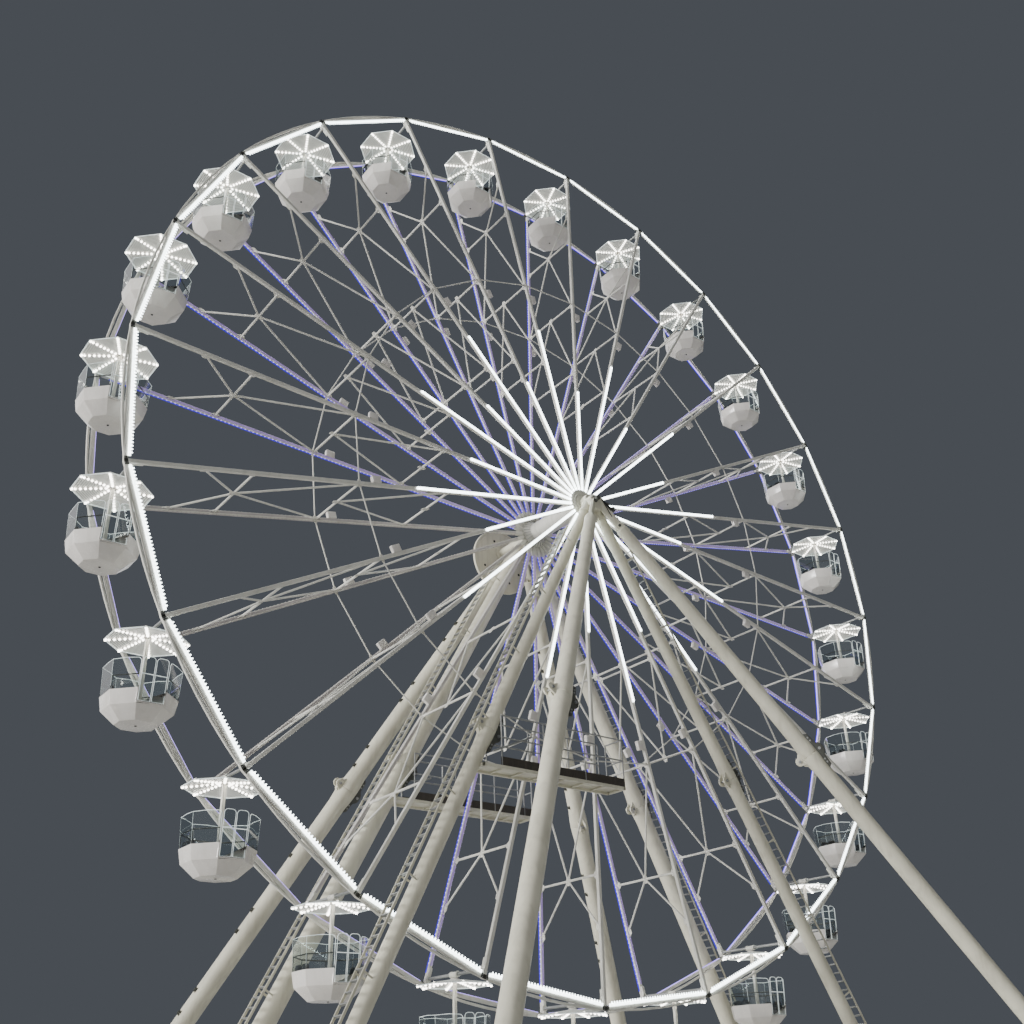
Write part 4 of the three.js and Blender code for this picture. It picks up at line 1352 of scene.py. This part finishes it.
def build_studio(settings):
    """Pale floor, even grey surroundings, soft lights and the camera."""
    scene = bpy.context.scene
    mesh = bmesh.new()
    radius = settings.floor_radius
    ring = [
        mesh.verts.new((radius * math.cos(a), radius * math.sin(a), 0))
        for a in (math.tau * at / 64 for at in range(64))
    ]
    mesh.faces.new(ring)
    floor = new_object(mesh, "studio_floor", "studio_floor")

    world = bpy.data.worlds.new("studio")
    scene.world = world
    world.use_nodes = True
    back = world.node_tree.nodes["Background"]
    back.inputs["Color"].default_value = (*settings.surround, 1.0)
    back.inputs["Strength"].default_value = 1.0

    for name, (share, turn, angle) in LIGHTS.items():
        light = bpy.data.lights.new(name, "SUN")
        light.energy = settings.key_strength * share
        light.angle = math.radians(angle)
        lamp = bpy.data.objects.new(name, light)
        lamp.rotation_euler = [math.radians(a) for a in turn]
        lamp.visible_transmission = False
        scene.collection.objects.link(lamp)

    camera = bpy.data.objects.new("camera", bpy.data.cameras.new("camera"))
    camera.data.lens = CAMERA_LENS
    camera.data.clip_end = 1000
    right = CAMERA_RIGHT.normalized()
    up = (CAMERA_UP - right * CAMERA_UP.dot(right)).normalized()
    turned = Matrix((right, up, right.cross(up))).transposed()
    camera.matrix_world = Matrix.Translation(CAMERA_PLACE) @ turned.to_4x4()
    scene.collection.objects.link(camera)
    scene.camera = camera


# Settings, operators and panel


def paint(name, description, code):
    """A colour setting from an sRGB hex code."""
    return FloatVectorProperty(
        name=name, description=description, subtype="COLOR", size=4, min=0.0, max=1.0,
        default=linear(code),
    )


def metres(name, description, default):
    """A setting in metres."""
    return FloatProperty(name=name, description=description, unit="LENGTH", default=default)


class FinishColours(bpy.types.PropertyGroup):
    """Colours of the painted, moulded and lit surfaces."""

    wheel_enamel: paint("Wheel enamel", "Paint of the spokes, rims and hub", "#dcdad0")
    leg_enamel: paint("Leg enamel", "Paint of the legs and platforms", "#d5d1bd")
    gondola_shell: paint("Gondola shell", "Gelcoat of the gondolas", "#e6e1da")
    seat: paint("Seats", "Moulded seats", "#26292c")
    white_light: paint("White light", "Light of the front rim and spokes", "#f4ffff")
    violet_light: paint("Violet light", "Light of the rear rim and spokes", "#3404ff")


class WheelSizes(bpy.types.PropertyGroup):
    """Sizes of the wheel's details."""

    chord_chamfer: metres("Chord chamfer", "Flat on the corners of the chords", 0.012)
    brace_radius: metres("Brace radius", "Radius of the braces", 0.03)
    tie_radius: metres("Tie radius", "Radius of the ring ties", 0.022)
    bar_width: metres("Light bar width", "Width of the rim's light bars", 0.078)
    bar_depth: metres("Light bar depth", "Depth of the rim's light bars", 0.035)
    fringe_pitch: metres("Fringe pitch", "Spacing of the rim's teeth", 0.1)
    spoke_bar_width: metres("Spoke bar width", "Width of the spokes' light bars", 0.1)
    bead_pitch: metres("Bead pitch", "Spacing of the white beads on the spokes", 0.12)
    violet_pitch: metres("Violet pitch", "Spacing of the violet beads", 0.133)


class GondolaSizes(bpy.types.PropertyGroup):
    """Sizes of the gondolas' details."""

    shell_rounding: metres("Shell rounding", "Rounding of the tub's edges", 0.014)
    screen_thickness: metres("Screen thickness", "Thickness of the acrylic", 0.008)
    screen_rounding: metres("Screen rounding", "Rounding of the screens' top corners", 0.1)
    canopy_thickness: metres("Canopy thickness", "Thickness of the canopy's panels", 0.012)
    lamp_count: IntProperty(
        name="Lamps on a rib", description="Lamps along each canopy rib", default=7, min=2
    )


class StandSizes(bpy.types.PropertyGroup):
    """Sizes of the stand's details."""

    rung_pitch: metres("Rung pitch", "Spacing of the ladders' rungs", 0.279)
    tread_depth: metres("Tread depth", "Depth of the ladders' treads", 0.08)
    handrail_radius: metres("Handrail radius", "Radius of the platforms' rails", 0.022)


class StudioSettings(bpy.types.PropertyGroup):
    """The stage and its light."""

    floor_radius: metres("Floor radius", "Radius of the round floor", 150.0)
    surround: FloatVectorProperty(
        name="Surround", description="Colour of the surroundings", subtype="COLOR", size=3,
        min=0.0, max=1.0, default=linear("#4c5056")[:3],
    )
    key_strength: FloatProperty(
        name="Key light", description="Strength of the key light", default=5.0
    )


def finishes():
    """The finishes, made once."""
    if not MADE:
        MADE.update(make_materials(bpy.context.scene.wheel_colours))
    return MADE


MADE = {}


class WheelOperator(bpy.types.Operator):
    """What the building steps share."""

    bl_options = {"REGISTER"}
    steps = ()
    settings = ""

    def execute(self, context):
        for step in self.steps:
            step(getattr(context.scene, self.settings))
        return {"FINISHED"}


class BuildTrusses(WheelOperator):
    """Build the 24 spoke trusses with their ties and boxes"""

    bl_idname = "ferris_wheel.trusses"
    bl_label = "Spoke trusses"
    steps = (build_trusses, build_ties)
    settings = "wheel_sizes"


class BuildRims(WheelOperator):
    """Build the two rims and the hub"""

    bl_idname = "ferris_wheel.rims"
    bl_label = "Rims and hub"
    steps = (build_rims, build_hub)
    settings = "wheel_sizes"


class BuildLights(WheelOperator):
    """Build the lights of the rims and spokes"""

    bl_idname = "ferris_wheel.lights"
    bl_label = "Rim and spoke lights"
    steps = (build_rim_lights, build_spoke_lights)
    settings = "wheel_sizes"


class BuildCabins(WheelOperator):
    """Build the gondolas' tubs, masts and seats"""

    bl_idname = "ferris_wheel.cabins"
    bl_label = "Gondola cabins"
    steps = (build_shells, build_cabin_fittings)
    settings = "gondola_sizes"


class BuildScreens(WheelOperator):
    """Build the gondolas' clear screens and doors"""

    bl_idname = "ferris_wheel.screens"
    bl_label = "Gondola screens"
    steps = (build_screens,)
    settings = "gondola_sizes"


class BuildCanopies(WheelOperator):
    """Build the gondolas' canopies and lamps"""

    bl_idname = "ferris_wheel.canopies"
    bl_label = "Gondola canopies"
    steps = (build_canopies,)
    settings = "gondola_sizes"


class BuildAxle(WheelOperator):
    """Build the fixed axle, its heads and the rear disc"""

    bl_idname = "ferris_wheel.axle"
    bl_label = "Axle and disc"
    steps = (build_axle,)
    settings = "stand_sizes"


class BuildLegs(WheelOperator):
    """Build the eight legs and the ladders on them"""

    bl_idname = "ferris_wheel.legs"
    bl_label = "Legs and ladders"
    steps = (build_legs, build_ladders)
    settings = "stand_sizes"


class BuildPlatforms(WheelOperator):
    """Build the two service platforms"""

    bl_idname = "ferris_wheel.platforms"
    bl_label = "Service platforms"
    steps = (build_platforms,)
    settings = "stand_sizes"


class BuildStudio(WheelOperator):
    """Set up the floor, the light and the camera"""

    bl_idname = "ferris_wheel.studio"
    bl_label = "Studio"
    steps = (build_studio,)
    settings = "studio_settings"


OPERATORS = (
    BuildTrusses, BuildRims, BuildLights, BuildCabins, BuildScreens, BuildCanopies, BuildAxle,
    BuildLegs, BuildPlatforms, BuildStudio,
)


class WheelPanel(bpy.types.Panel):
    """Lists the building steps"""

    bl_idname = "VIEW3D_PT_ferris_wheel"
    bl_label = "Ferris wheel"
    bl_space_type = "VIEW_3D"
    bl_region_type = "UI"
    bl_category = "Ferris wheel"

    def draw(self, context):
        for operator in OPERATORS:
            self.layout.operator(operator.bl_idname, text=operator.bl_label)
        for settings in GROUPS:
            group = getattr(context.scene, settings)
            for name in group.bl_rna.properties.keys():
                if name not in {"rna_type", "name"}:
                    self.layout.prop(group, name)


GROUPS = {
    "wheel_colours": FinishColours,
    "wheel_sizes": WheelSizes,
    "gondola_sizes": GondolaSizes,
    "stand_sizes": StandSizes,
    "studio_settings": StudioSettings,
}


def register():
    for name, group in GROUPS.items():
        bpy.utils.register_class(group)
        setattr(bpy.types.Scene, name, PointerProperty(type=group))
    for operator in OPERATORS:
        bpy.utils.register_class(operator)
    bpy.utils.register_class(WheelPanel)


def unregister():
    bpy.utils.unregister_class(WheelPanel)
    for operator in reversed(OPERATORS):
        bpy.utils.unregister_class(operator)
    for name, group in reversed(GROUPS.items()):
        delattr(bpy.types.Scene, name)
        bpy.utils.unregister_class(group)


def main():
    register()
    for operator in OPERATORS:
        family, step = operator.bl_idname.split(".")
        getattr(getattr(bpy.ops, family), step)()


if __name__ == "__main__":
    main()
